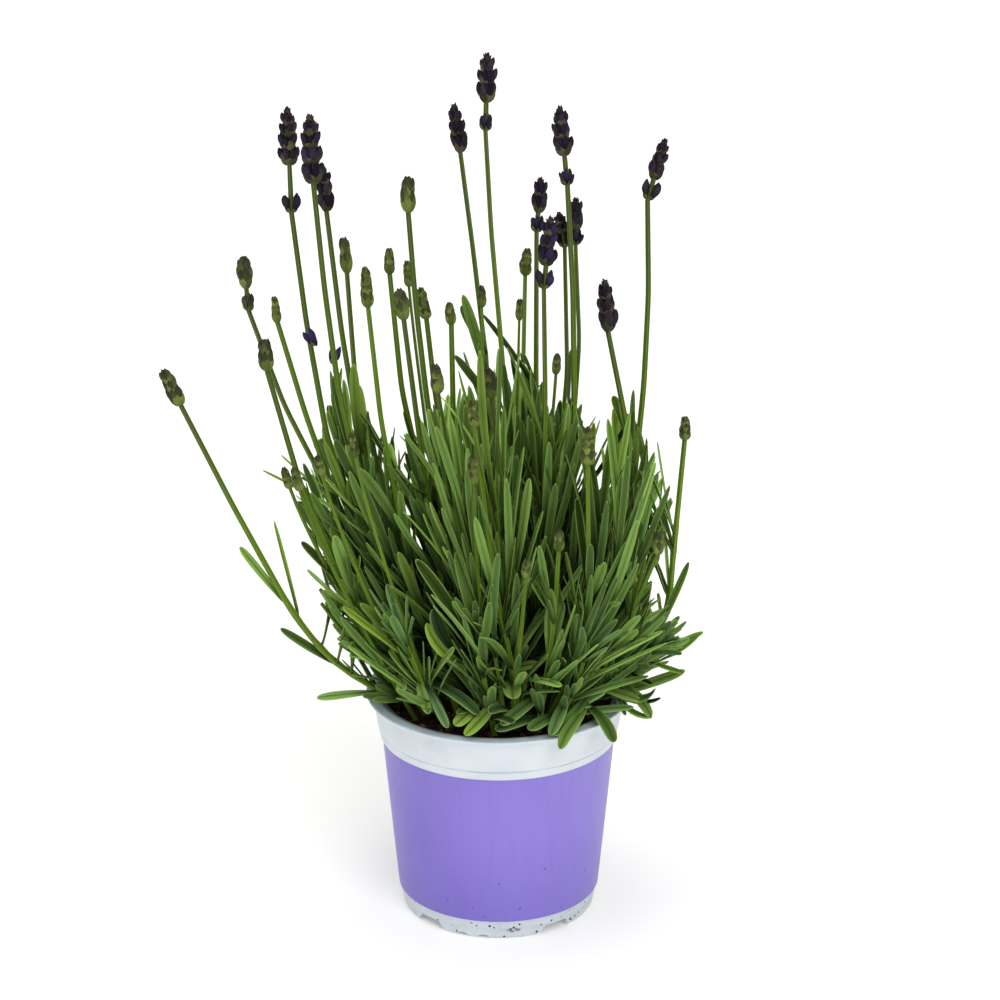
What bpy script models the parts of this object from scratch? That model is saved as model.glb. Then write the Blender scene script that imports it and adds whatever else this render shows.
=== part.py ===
"""A flowering lavender plant in a printed nursery pot.

Units are metres, +Z is up and the origin is the centre of the pot's foot, on the
surface that it stands on. The front of the plant faces -Y. Tables are in
millimetres and become metres through MM.
"""

import math
import random
from types import SimpleNamespace

import bmesh
import bpy
import numpy as np
from mathutils import Quaternion, Vector
from mathutils.bvhtree import BVHTree

MM = 0.001
SEAT = 0.3 * MM  # the gap left between two pieces that touch

# Pot, in millimetres: radii and heights
RIM_RADIUS = 65.0
WALL = 1.6
POT_HEIGHT = 113.0
LEDGE_RADIUS = 59.0
LEDGE_DROP = 1.2
COLLAR_RADIUS = 60.6
COLLAR_FOOT = 90.0
BAND_TOP_RADIUS = 57.4
INNER_RADIUS = BAND_TOP_RADIUS - WALL  # of the pot's mouth
BAND_FOOT_RADIUS = 49.9
BAND_FOOT = 9.8
SKIRT_RADIUS = 47.4
SKIRT_WALL = 1.6
PLATE_TOP = 6.5
PLATE_UNDERSIDE = 4.5
CENTRE_FOOT_RADIUS = 11.0
POT_SIDES = 48

NOTCH_HEIGHT = 4.1
NOTCH_ANGLES = (-45.0, 36.0, 135.0, 216.0)  # from the front, seen from above
NOTCH_TOP_ARC = 14.5
NOTCH_FOOT_ARC = 21.0
SCALLOP_ANGLES = (-22.0, -9.0, 158.0, 171.0)
SCALLOP_HEIGHT = 1.4
SCALLOP_HALF_WIDTH = 3.0
DRAIN_HOLES = 6
DRAIN_HOLE_RADIUS = 4.0
DRAIN_CIRCLE_RADIUS = 30.0
DRAIN_START = 19.0  # the first hole's angle from the front

SOIL_TOP = 107.5
# What leaves keep out of: the pot and its soil, a little swollen
POT_KEEP_OUT = (
    (55.0, 80.0),
    (COLLAR_RADIUS + 0.5, POT_HEIGHT - 8.5),
    (RIM_RADIUS + 0.8, POT_HEIGHT - 1.5),
    (RIM_RADIUS + 0.6, POT_HEIGHT + 0.8),
    (INNER_RADIUS - 1.0, POT_HEIGHT + 0.8),
    (INNER_RADIUS - 2.0, SOIL_TOP + 0.8),
)

# Stems and leaves, in millimetres
STEM_FOOT_WIDTH = 2.9
STEM_NECK_WIDTH = 2.1
STEM_SPACING = 5.4
HEAD_SPACING = 3.6  # between a head's outside and the middle of another stem
HEAD_POINTS = 5
SPREAD_ROUNDS = 4
SPREAD_STEPS = 60
NODE_HEIGHT = 3.4  # the stretch of stem that a leaf pair grows from
FIRST_NODE = 8.0
LOW_INTERNODE = 14.0
HIGH_INTERNODE = 25.0
LOW_SHOOT_INTERNODE = 0.75  # of a tall stem's
BARE_STEP = 42.0  # between rings above the leaves
CURVE_STEP = 6.0  # between the points of a stem's route
SUBSTEPS = 16  # in each span of a route, before it is evenly spaced
LEAF_WIDTH = 5.6
LEAF_THICKNESS = 0.9
LEAF_LENGTH = 53.0
PLACED_LENGTH = 46.0  # what a placed leaf's node is chosen for
PLACED_LENGTHS = (24.0, 63.0)  # the shortest and longest that a placed leaf may be
LOW_SHOOT_LEAF = 0.8  # a low shoot's leaves, as a share of the others' length
SPLAY = (17.0, 30.0)  # degrees from the stem
SPLAY_BY_DEPTH = 0.22  # degrees more for each millimetre under the upright height
UPRIGHT_HEIGHT = 165.0
LOW_SHOOT_SPLAY = 14.0
SPLAY_LIMITS = (16.0, 66.0)
HANGING_HEIGHT = 150.0  # outward leaves under this hang down
LEAF_CLEARANCE = 0.35
OFF_ITS_STEM = 0.13  # the share of a leaf's length within which it may touch its own stem
LEAF_TRIES = 14
PLACED_TRIES = 60
STATION_STEP = 3.0  # between the places tried for a placed leaf
NODE_CLEARANCE = 7.0  # from one node to the next
HIGHEST_NODE = 0.9  # the share of a stem's length that can carry a placed leaf
UPRIGHT = 0.5  # how far a placed leaf points along its stem: 1 is straight up it
HANGING = -0.2  # the same, for a leaf whose tip hangs over the rim
CORNERS = ((1, -1), (1, 1), (-1, 1), (-1, -1))  # of a stem's square section, in order
HEAD_SIDES = 6
WHORL_PITCH = 4.7
SEED = 23

# Each flowering stem: its route from the soil to its neck, the tip of its flower
# head, the height of a separate lower whorl (0 for none), the head's girth, and
# the share of the stem that carries leaves.
FLOWERING = (
    (((-34, -11), (-64, -14, 121), (-98, -15, 157), (-149, -20, 266)), (-157, -20, 284), 0, 9.5, 0.34),
    (((-21, 14), (-62, 22, 170), (-96, 25, 233), (-120, 30, 297)), (-122, 30, 324), 11, 9.5, 0.50),
    (((-27, -14), (-76, -30, 184), (-94, -33, 235), (-107, -35, 288)), (-108, -35, 303), 0, 9, 0.48),
    (((-14, 5), (-48, 2, 160), (-75, 0, 210), (-97, 10, 351)), (-98, 10, 402), 23, 11.5, 0.46),
    (((-17, -9), (-52, -14, 190), (-72, -15, 252), (-85, -15, 372)), (-86, -15, 405), 0, 13, 0.50),
    (((-10, 19), (-46, 22, 170), (-66, 25, 225), (-82, 35, 345)), (-83, 35, 367), 0, 9.5, 0.50),
    (((-13, 31), (-46, 38, 170), (-69, 45, 247), (-74, 60, 307)), (-75, 60, 325), 0, 8, 0.55),
    (((-8, -2), (-22, -2, 180), (-34, 0, 262), (-42, 0, 354)), (-42, 0, 371), 0, 9, 0.55),
    (((-11, -21), (-26, -18, 165), (-35, -16, 229), (-44, -20, 308)), (-46, -20, 323), 0, 9, 0.60),
    (((2, 13), (0, 16, 180), (-6, 20, 275), (-18, 30, 375)), (-21, 30, 399), 0, 9.5, 0.62),
    (((5, 0), (6, -2, 170), (4, 0, 254), (-6, 0, 393)), (-5, 0, 430), 13, 10.5, 0.48),
    (((-6, -33), (-10, -40, 150), (-17, -40, 205), (-28, -35, 277)), (-29, -35, 291), 0, 8, 0.50),
    (((3, -28), (7, -38, 160), (2, -45, 235), (-3, -50, 280)), (-5, -50, 294), 0, 9, 0.50),
    (((12, 10), (16, 12, 180), (18, 15, 267), (18, 20, 339)), (20, 20, 366), 9, 8.5, 0.68),
    (((13, -12), (20, -16, 180), (22, -18, 270), (21, -20, 323)), (24, -20, 358), 11, 11, 0.50),
    (((16, 25), (26, 32, 180), (35, 40, 290), (32, 50, 323)), (29, 50, 341), 5, 8.5, 0.52),
    (((21, 14), (32, 22, 190), (39, 30, 280), (37, 40, 327)), (37, 40, 351), 7, 8, 0.52),
    (((19, 0), (32, -2, 180), (36, 0, 270), (32, 0, 367)), (28, 0, 405), 14, 11, 0.48),
    (((25, -15), (52, -17, 175), (62, -18, 245), (51, -20, 302)), (49, -20, 328), 0, 10.5, 0.52),
    (((29, 7), (60, 9, 185), (71, 12, 290), (70, 15, 356)), (78, 15, 386), 10, 9, 0.42),
)

# Each budding shoot: its route to the foot of its green bud, the bud's tip, its
# girth and the share of the stem that carries leaves.
BUDDING = (
    (((-27, 2), (-60, 2, 168), (-87, 0, 240), (-104, -5, 303)), (-105, -5, 315), 5.5, 0.50),
    (((-19, -25), (-38, -18, 165), (-53, -10, 236), (-61, -10, 312)), (-62, -10, 331), 6, 0.55),
    (((-4, 28), (-26, 24, 170), (-45, 20, 250), (-52, 25, 318)), (-52, 25, 330), 6, 0.55),
    (((4, 37), (-12, 36, 170), (-29, 36, 240), (-35, 40, 291)), (-38, 40, 306), 6, 0.58),
    (((-3, -12), (-14, -12, 170), (-21, -12, 250), (-22, -15, 305)), (-23, -15, 315), 5.5, 0.60),
    (((9, -37), (7, -48, 140), (-2, -54, 190), (-11, -60, 270)), (-12, -60, 282), 6.5, 0.50),
    (((10, 31), (14, 38, 180), (12, 46, 260), (13, 60, 307)), (14, 60, 320), 6, 0.58),
    (((27, 21), (52, 22, 150), (64, 22, 189), (66, 25, 234)), (63, 25, 247), 6.5, 0.70),
    (((35, -5), (58, -7, 121), (80, -4, 148), (85, 0, 190), (89, 0, 243)), (89, 0, 254), 6, 0.72),
    (((23, -30), (38, -44, 150), (43, -50, 192), (41, -55, 250)), (41, -55, 268), 9, 0.55),
    (((31, -23), (52, -32, 145), (68, -36, 176), (75, -40, 200)), (75, -40, 210), 7, 0.70),
    (((19, -42), (24, -50, 150), (27, -56, 180), (28, -62, 210)), (28, -63, 220), 6.5, 0.72),
)

# Each leafy shoot: its route to its growing tip. All of it carries leaves.
LEAFY = (
    ((-23, -33), (-34, -42, 128), (-44, -48, 158)),
    ((-2, -43), (-6, -50, 132), (-11, -53, 168)),
    ((26, -36), (34, -44, 126), (41, -49, 150)),
    ((36, -17), (56, -23, 124), (74, -30, 148)),
    ((-36, 14), (-56, 24, 126), (-76, 34, 160)),
    ((0, 42), (-2, 60, 132), (-4, 74, 182)),
)

# The leafy part's outline for an eye in front: how high it reaches at each place
# across, and how far it spreads to the left and right at each height
EYE = (0.0, -1443.0, 747.0)
LEAFY_TOP = (
    (-112, 200),
    (-101, 226),
    (-91, 240),
    (-82, 270),
    (-78, 286),
    (-70, 280),
    (-64, 264),
    (-58, 252),
    (-40, 262),
    (-24, 268),
    (-17, 284),
    (-13, 306),
    (-8, 290),
    (0, 294),
    (8, 292),
    (16, 280),
    (24, 266),
    (38, 266),
    (50, 258),
    (62, 264),
    (70, 250),
    (82, 228),
    (88, 216),
    (96, 165),
    (101, 141),
)
LEAFY_SIDES = (
    (86, -64, 60),
    (98, -67, 60),
    (106, -68, 76),
    (122, -76, 76),
    (132, -79, 92),
    (141, -80, 99),
    (150, -85, 92),
    (162, -88, 80),
    (178, -88, 70),
    (190, -91, 80),
    (205, -97, 85),
    (220, -101, 84),
    (235, -92, 76),
    (250, -84, 70),
    (300, -78, 40),
)

# Leaves that show on their own, by shoot: each one's tip and its width
PLACED_LEAVES = {
    "flower_stem_01": (
        ((-124, -15, 193), 5.0),
        ((-107, -12, 204), 6.2),
        ((-105, -12, 149), 5.5),
        ((-88, -14, 114), 5.0),
    ),
    "flower_stem_02": (((-104, 0, 234), 4.5), ((-96, -5, 213), 6.0)),
    "flower_stem_03": (((-77, -45, 209), 8.0), ((-90, -35, 188), 7.0), ((-93, -25, 199), 5.0)),
    "flower_stem_06": (((-70, 20, 272), 8.0),),
    "flower_stem_09": (((-51, -30, 240), 5.0),),
    "flower_stem_10": (((-16, 10, 310), 7.0), ((-17, 14, 304), 6.0)),
    "flower_stem_11": (((-19, -10, 287), 6.0),),
    "flower_stem_12": (((-32, -45, 226), 5.5),),
    "flower_stem_13": (((-19, -50, 242), 5.0),),
    "flower_stem_14": (((-6, 10, 301), 6.0), ((15, 20, 306), 5.5)),
    "flower_stem_15": (((15, -20, 258), 8.0), ((24, -25, 248), 6.0)),
    "flower_stem_17": (((34, 25, 278), 7.0),),
    "flower_stem_19": (((54, -10, 260), 8.0), ((55, 0, 264), 6.0)),
    "flower_stem_20": (((64, 5, 264), 7.0), ((68, 8, 258), 7.0)),
    "budding_shoot_01": (((-111, -10, 230), 4.5),),
    "budding_shoot_02": (((-64, -30, 238), 6.5),),
    "budding_shoot_06": (((8, -60, 214), 6.0),),
    "budding_shoot_09": (((76, 5, 238), 5.0), ((78, 0, 234), 6.0), ((68, -5, 227), 5.0)),
    "budding_shoot_10": (((37, -40, 226), 5.0),),
    "budding_shoot_12": (((-1, -60, 118), 8.0), ((19, -66, 212), 5.0), ((36, -62, 181), 5.5)),
    "leafy_shoot_01": (
        ((-72, -55, 178), 6.5),
        ((-62, -60, 162), 6.0),
        ((-70, -58, 159), 5.0),
        ((-47, -66, 141), 6.0),
        ((-33, -66, 129), 6.5),
        ((-24, -64, 121), 6.5),
        ((-10, -62, 126), 8.5),
        ((-21, -52, 150), 5.0),
    ),
    "leafy_shoot_02": (
        ((-19, -62, 207), 8.5),
        ((-17, -55, 202), 4.0),
        ((-17, -60, 171), 6.0),
        ((-32, -62, 173), 6.5),
        ((-37, -50, 200), 7.5),
        ((-17, -65, 117), 8.0),
    ),
    "leafy_shoot_03": (
        ((15, -62, 119), 8.0),
        ((25, -65, 117), 7.5),
        ((29, -71, 116), 7.5),
        ((55, -58, 112), 8.0),
        ((39, -60, 178), 8.0),
        ((52, -55, 155), 7.0),
    ),
    "leafy_shoot_04": (
        ((98, -10, 147), 5.0),
        ((91, -20, 148), 5.0),
        ((89, -25, 132), 6.0),
        ((78, -30, 121), 7.0),
        ((74, -38, 115), 6.5),
        ((92, -5, 180), 4.5),
    ),
}

COLOURS = {
    "pot_print": ((0.30, 0.23, 0.72), 0.45),
    "potting_soil": ((0.035, 0.020, 0.014), 0.95),
    "foliage": ((0.10, 0.23, 0.04), 0.55),
    "ripe_calyx": ((0.045, 0.030, 0.10), 0.70),
}


def clear_scene():
    for obj in list(bpy.data.objects):
        bpy.data.objects.remove(obj, do_unlink=True)


def new_collection(name):
    collection = bpy.data.collections.new(name)
    bpy.context.scene.collection.children.link(collection)
    return collection


def material(name):
    colour, roughness = COLOURS[name]
    made = bpy.data.materials.new(name)
    made.use_nodes = True
    shader = made.node_tree.nodes["Principled BSDF"]
    shader.inputs["Base Color"].default_value = (*colour, 1.0)
    shader.inputs["Roughness"].default_value = roughness
    shader.inputs["Metallic"].default_value = 0.0
    return made


def face_outwards(bm):
    bmesh.ops.recalc_face_normals(bm, faces=bm.faces)
    if bm.calc_volume(signed=True) < 0:
        bmesh.ops.reverse_faces(bm, faces=bm.faces)


def object_from(bm, name, collection, finish=None):
    """The finished bmesh as an object in the collection."""
    mesh = bpy.data.meshes.new(name)
    bm.to_mesh(mesh)
    bm.free()
    obj = bpy.data.objects.new(name, mesh)
    collection.objects.link(obj)
    if finish:
        mesh.materials.append(finish)
    return obj


# ---------------------------------------------------------------- turned pieces


def turned(name, profile, sides, collection, finish):
    """A solid of revolution. The profile, in millimetres, runs down the outer side."""
    bm = bmesh.new()
    points = [bm.verts.new((radius * MM, 0.0, height * MM)) for radius, height in profile]
    for start, end in zip(points, points[1:]):
        bm.edges.new((start, end))
    obj = object_from(bm, name, collection, finish)
    screw = obj.modifiers.new("Turn", "SCREW")
    screw.steps = sides
    screw.render_steps = sides
    screw.use_merge_vertices = True
    screw.merge_threshold = 0.00001
    return obj


def pot_profile():
    """From the middle of the floor, up the inside, over the rim, down to the foot."""
    ledge = POT_HEIGHT - LEDGE_DROP
    return (
        (0.0, PLATE_TOP),
        (BAND_FOOT_RADIUS - WALL, PLATE_TOP),
        (INNER_RADIUS, COLLAR_FOOT - 2.0),
        (INNER_RADIUS, ledge),
        (LEDGE_RADIUS, POT_HEIGHT - 0.2),
        (RIM_RADIUS - 0.4, POT_HEIGHT),
        (RIM_RADIUS, POT_HEIGHT - 0.4),
        (RIM_RADIUS - 1.8, POT_HEIGHT - 2.4),
        (COLLAR_RADIUS + 0.7, POT_HEIGHT - 4.8),
        (COLLAR_RADIUS, POT_HEIGHT - 7.5),
        (COLLAR_RADIUS - 1.9, COLLAR_FOOT + 3.0),
        (BAND_TOP_RADIUS + 0.6, COLLAR_FOOT + 0.2),
        (BAND_TOP_RADIUS, COLLAR_FOOT - 0.2),
        (BAND_FOOT_RADIUS, BAND_FOOT),
        (BAND_FOOT_RADIUS - 0.9, BAND_FOOT - 0.5),
        (SKIRT_RADIUS + 1.1, PLATE_UNDERSIDE + 0.9),
        (SKIRT_RADIUS + 0.6, PLATE_UNDERSIDE + 0.5),
        (SKIRT_RADIUS, 0.0),
        (SKIRT_RADIUS - SKIRT_WALL, 0.0),
        (SKIRT_RADIUS - SKIRT_WALL + 0.4, PLATE_UNDERSIDE),
        (CENTRE_FOOT_RADIUS + 1.0, PLATE_UNDERSIDE),
        (CENTRE_FOOT_RADIUS, 0.0),
        (0.0, 0.0),
    )


def soil_profile():
    """The root ball fills the pot to just under the rim, a seat's gap from its wall."""
    gap = SEAT / MM
    return (
        (0.0, SOIL_TOP),
        (INNER_RADIUS - gap, SOIL_TOP),
        (INNER_RADIUS - gap, COLLAR_FOOT - 2.0),
        (BAND_FOOT_RADIUS - WALL - gap, PLATE_TOP + gap),
        (0.0, PLATE_TOP + gap),
    )


def on_circle(radius, angle, height):
    """A point at an angle from the front, in degrees, anticlockwise from above."""
    turn = math.radians(angle)
    return Vector((radius * math.sin(turn), -radius * math.cos(turn), height)) * MM


def notch_cutter(angle, collection):
    """A wedge through the skirt, wider at the surface that the pot stands on."""
    bm = bmesh.new()
    bmesh.ops.create_cube(bm, size=1.0)
    for vert in bm.verts:
        low = vert.co.z < 0
        arc = NOTCH_FOOT_ARC if low else NOTCH_TOP_ARC
        radius = SKIRT_RADIUS + 6.0 if vert.co.y < 0 else SKIRT_RADIUS - 6.0
        side = arc / 2 if vert.co.x > 0 else -arc / 2
        vert.co = on_circle(radius, angle + side, -1.0 if low else NOTCH_HEIGHT)
    face_outwards(bm)
    return object_from(bm, f"notch_cutter_{angle:.0f}", collection)


def scallop_cutter(angle, collection):
    """A low arch through the skirt."""
    bm = bmesh.new()
    bmesh.ops.create_cone(bm, cap_ends=True, segments=16, radius1=1.0, radius2=1.0, depth=1.0)
    outward = on_circle(1.0, angle, 0.0).normalized()
    sideways = outward.cross(Vector((0, 0, 1)))
    for vert in bm.verts:
        across = sideways * vert.co.x * SCALLOP_HALF_WIDTH * MM
        rise = Vector((0, 0, vert.co.y * SCALLOP_HEIGHT * MM))
        vert.co = outward * (SKIRT_RADIUS + vert.co.z * 8.0) * MM + across + rise
    face_outwards(bm)
    return object_from(bm, f"scallop_cutter_{angle:.0f}", collection)


def drain_cutter(index, collection):
    """A round hole through the floor of the pot."""
    bm = bmesh.new()
    radius = DRAIN_HOLE_RADIUS * MM
    bmesh.ops.create_cone(bm, cap_ends=True, segments=12, radius1=radius, radius2=radius, depth=0.02)
    centre = on_circle(DRAIN_CIRCLE_RADIUS, DRAIN_START + 360.0 * index / DRAIN_HOLES, PLATE_TOP)
    bmesh.ops.translate(bm, verts=bm.verts, vec=centre)
    face_outwards(bm)
    return object_from(bm, f"drain_cutter_{index}", collection)


def cut(obj, cutter):
    boolean = obj.modifiers.new(cutter.name, "BOOLEAN")
    boolean.operation = "DIFFERENCE"
    boolean.object = cutter
    cutter.hide_render = True
    cutter.display_type = "WIRE"


def make_pot(parts, cutters):
    pot = turned("pot", pot_profile(), POT_SIDES, parts, material("pot_print"))
    for angle in NOTCH_ANGLES:
        cut(pot, notch_cutter(angle, cutters))
    for angle in SCALLOP_ANGLES:
        cut(pot, scallop_cutter(angle, cutters))
    for index in range(DRAIN_HOLES):
        cut(pot, drain_cutter(index, cutters))


# ------------------------------------------------------------------ stem routes


def whole_route(points):
    """The route's points in metres. The first one lies a seat's gap above the soil."""
    (x, y), rest = points[0], points[1:]
    foot = Vector((x, y, SOIL_TOP)) * MM + Vector((0, 0, SEAT))
    return [foot] + [Vector(point) * MM for point in rest]


def smooth_curve(points, beyond, count):
    """Evenly spaced points of a Catmull-Rom curve through the route, aimed at beyond."""
    under_soil = points[0] + (points[0] - points[1]) * 0.35 - Vector((0, 0, 12 * MM))
    knots = [under_soil] + points + [beyond]
    fine = []
    for a, b, c, d in zip(knots, knots[1:], knots[2:], knots[3:]):
        square = 2 * a - 5 * b + 4 * c - d
        cube = 3 * b - a - 3 * c + d
        for step in range(SUBSTEPS):
            t = step / SUBSTEPS
            fine.append(b + ((c - a) * t + square * t**2 + cube * t**3) / 2)
    fine.append(points[-1])
    lengths = [0.0]
    for a, b in zip(fine, fine[1:]):
        lengths.append(lengths[-1] + (b - a).length)
    wanted = np.linspace(0.0, lengths[-1], count)
    columns = [np.interp(wanted, lengths, [point[axis] for point in fine]) for axis in range(3)]
    return np.stack(columns, axis=1)


def spread_apart(curves, reach):
    """Push the curves away from each other where they pass closer than their reach.

    Feet and necks stay put, so that each stem keeps its place and its flower head.
    """
    for _ in range(SPREAD_STEPS):
        pushes = [np.zeros_like(curve) for curve in curves]
        for i, first in enumerate(curves):
            for j in range(i + 1, len(curves)):
                apart = first[:, None, :] - curves[j][None, :, :]
                distance = np.linalg.norm(apart, axis=2)
                needed = np.maximum(reach[i][:, None], reach[j][None, :])
                close = np.argwhere(distance < needed)
                for a, b in close:
                    gap = max(distance[a, b], 1e-5)
                    push = apart[a, b] / gap * (needed[a, b] - gap) * 0.25
                    pushes[i][a] += push
                    pushes[j][b] -= push
        for curve, push in zip(curves, pushes):
            push[0] = 0.0
            push[-1] = 0.0
            push[1:-1] = (push[:-2] + push[1:-1] * 2 + push[2:]) / 4
            curve += push
    return curves


class Stem:
    """A stem's centre line, with the square section carried along it without twist."""

    def __init__(self, curve, turn):
        self.points = [Vector(point) for point in curve]
        self.lengths = [0.0]
        for a, b in zip(self.points, self.points[1:]):
            self.lengths.append(self.lengths[-1] + (b - a).length)
        tangent = (self.points[1] - self.points[0]).normalized()
        side = tangent.orthogonal().normalized()
        side.rotate(Quaternion(tangent, turn))
        self.sides = []
        self.tangents = []
        for index in range(len(self.points)):
            low = self.points[max(index - 1, 0)]
            high = self.points[min(index + 1, len(self.points) - 1)]
            tangent = (high - low).normalized()
            side = (side - tangent * side.dot(tangent)).normalized()
            self.tangents.append(tangent)
            self.sides.append(side)

    @property
    def length(self):
        return self.lengths[-1]

    def at(self, distance):
        """(point, tangent, side) at a distance along the stem."""
        distance = min(max(distance, 0.0), self.length)
        index = 0
        while index < len(self.points) - 2 and self.lengths[index + 1] < distance:
            index += 1
        span = self.lengths[index + 1] - self.lengths[index]
        share = (distance - self.lengths[index]) / span
        point = self.points[index].lerp(self.points[index + 1], share)
        tangent = self.tangents[index].lerp(self.tangents[index + 1], share).normalized()
        side = self.sides[index].lerp(self.sides[index + 1], share)
        side = (side - tangent * side.dot(tangent)).normalized()
        return point, tangent, side

    def width(self, distance):
        share = distance / self.length
        return (STEM_FOOT_WIDTH * (1 - share) + STEM_NECK_WIDTH * share) * MM

    def ring(self, distance, width):
        """The four corners of the square section. The lowest one lies flat on the soil."""
        point, tangent, side = self.at(distance)
        other = tangent.cross(side)
        half = width / 2
        places = [point + side * half * a + other * half * b for a, b in CORNERS]
        if distance == 0:
            for place in places:
                place.z = point.z
        return places

    def face_normal(self, distance, face):
        _, tangent, side = self.at(distance)
        other = tangent.cross(side)
        return (side, other, -side, -other)[face].copy()


# ------------------------------------------------------- leaves and their room


class Leaf:
    """A strap leaf that leaves one face of a stem and bends along its length."""

    STATIONS = (0.34, 0.74)
    WIDTHS = (0.86, 1.0)

    def __init__(self, root, across, start, end, length, width):
        self.root = root
        self.across = across
        self.start = start
        self.end = end
        self.length = length
        self.width = width

    def direction(self, share):
        return self.start.lerp(self.end, share).normalized()

    def point(self, share):
        place = self.root.copy()
        steps = 8
        for step in range(steps):
            place += self.direction((step + 0.5) / steps * share) * self.length * share / steps
        return place

    def section(self, share, width, thickness):
        """Corners in the order lower left, lower right, upper right, upper left."""
        along = self.direction(share)
        across = (self.across - along * self.across.dot(along)).normalized()
        up = across.cross(along)
        place = self.point(share)
        pairs = ((-1, -1), (1, -1), (1, 1), (-1, 1))
        return [place + across * width / 2 * a + up * thickness / 2 * b for a, b in pairs]

    def shell(self, swell, first=0.02, first_thickness=NODE_HEIGHT * MM):
        """A closed shell round the leaf, from the first share of its length to its tip."""
        thin = LEAF_THICKNESS * MM
        sections = [self.section(first, self.width * 0.6 + swell, first_thickness + swell)]
        for share, widening in zip(self.STATIONS, self.WIDTHS):
            sections.append(self.section(share, self.width * widening + swell, thin + swell))
        sections.append(self.section(1.0, swell, swell))
        return tube_shell(sections)


class Room:
    """The shapes placed so far, to test whether a new one would touch them."""

    def __init__(self):
        self.taken = []

    @staticmethod
    def box(points):
        low = Vector([min(point[axis] for point in points) for axis in range(3)])
        high = Vector([max(point[axis] for point in points) for axis in range(3)])
        return low, high

    def add(self, points, faces, owner=None):
        self.taken.append((*self.box(points), BVHTree.FromPolygons(points, faces), owner))

    def free(self, points, faces, passing=None):
        """True where the shell touches nothing, apart from what its passing owner placed."""
        low, high = self.box(points)
        tree = None
        for other_low, other_high, other, owner in self.taken:
            if passing is not None and owner is passing:
                continue
            if any(low[axis] > other_high[axis] or high[axis] < other_low[axis] for axis in range(3)):
                continue
            tree = tree or BVHTree.FromPolygons(points, faces)
            if tree.overlap(other):
                return False
        return True


def tube_shell(rings):
    """Points and faces of a closed tube through rings of equal size."""
    sides = len(rings[0])
    points = [corner for ring in rings for corner in ring]
    faces = [tuple(range(sides))[::-1]]
    for index in range(len(rings) - 1):
        low = index * sides
        for side in range(sides):
            after = (side + 1) % sides
            faces.append((low + side, low + after, low + sides + after, low + sides + side))
    faces.append(tuple(range(len(points) - sides, len(points))))
    return points, faces


def round_shell(profile):
    """A closed shell turned about the pot's axis, through radii and heights in millimetres."""
    turns = [math.tau * corner / POT_SIDES for corner in range(POT_SIDES)]
    rings = []
    for radius, height in profile:
        circle = [(math.cos(turn) * radius, math.sin(turn) * radius, height) for turn in turns]
        rings.append([Vector(place) * MM for place in circle])
    return tube_shell(rings)


def stem_shell(stem, swell):
    steps = max(int(stem.length / (12 * MM)), 3)
    stations = [stem.length * step / steps for step in range(steps + 1)]
    return tube_shell([stem.ring(station, stem.width(station) + swell) for station in stations])


def head_shell(neck, tip, girth, swell):
    axis = (tip - neck).normalized()
    side = axis.orthogonal().normalized()
    other = axis.cross(side)
    turns = [math.tau * corner / 8 for corner in range(8)]
    spokes = [side * math.cos(turn) + other * math.sin(turn) for turn in turns]
    rings = []
    for share, fullness in ((-0.04, 0.6), (0.12, 1.0), (0.55, 1.0), (0.9, 0.6), (1.06, 0.6)):
        centre = neck.lerp(tip, share)
        rings.append([centre + spoke * (girth / 2 * fullness + swell) for spoke in spokes])
    return tube_shell(rings)


def leaf_splay(height, low_shoot, attempt, dice):
    """Degrees between a leaf's root and its stem: wide near the rim, narrow above."""
    splay = dice.uniform(*SPLAY) + max(0.0, UPRIGHT_HEIGHT - height) * SPLAY_BY_DEPTH
    splay += dice.uniform(-4, 4) * attempt
    splay += LOW_SHOOT_SPLAY if low_shoot else 0
    return min(max(splay, SPLAY_LIMITS[0]), SPLAY_LIMITS[1])


def leaf_bend(point, outward, tangent, dice):
    """What a leaf's direction gains from root to tip: low outer ones hang over the rim."""
    away = Vector((point.x, point.y, 0)) + Vector((outward.x, outward.y, 0)) * LEAF_LENGTH * MM
    away.normalize()
    from_axis = min(1.0, math.hypot(point.x, point.y) / (RIM_RADIUS * 0.7 * MM))
    if point.z < HANGING_HEIGHT * MM and outward.dot(away) * from_axis > 0.25:
        return away * dice.uniform(0.2, 0.5) - Vector((0, 0, dice.uniform(-0.1, 0.55)))
    return Vector((0, 0, dice.uniform(0.05, 0.4))) + tangent * dice.uniform(0.0, 0.3)


def tried_leaf(stem, station, face, low_shoot, attempt, dice):
    """One way for a leaf to grow from this face of the stem. Later tries vary more."""
    middle = station + NODE_HEIGHT * MM / 2
    point, tangent, _ = stem.at(middle)
    outward = stem.face_normal(middle, face)
    outward.rotate(Quaternion(tangent, math.radians(dice.uniform(-8, 8) * (1 + attempt * 0.35))))
    splay = math.radians(leaf_splay(point.z / MM, low_shoot, attempt, dice))
    start = (tangent * math.cos(splay) + outward * math.sin(splay)).normalized()
    end = (start + leaf_bend(point, outward, tangent, dice)).normalized()
    length = LEAF_LENGTH * MM * dice.uniform(0.82, 1.18) * (1.0 - 0.045 * attempt)
    length *= LOW_SHOOT_LEAF if low_shoot else 1.0
    width = LEAF_WIDTH * MM * dice.uniform(0.82, 1.15)
    root = point + outward * stem.width(station) / 2
    return Leaf(root, tangent.cross(outward).normalized(), start, end, length, width)


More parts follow.
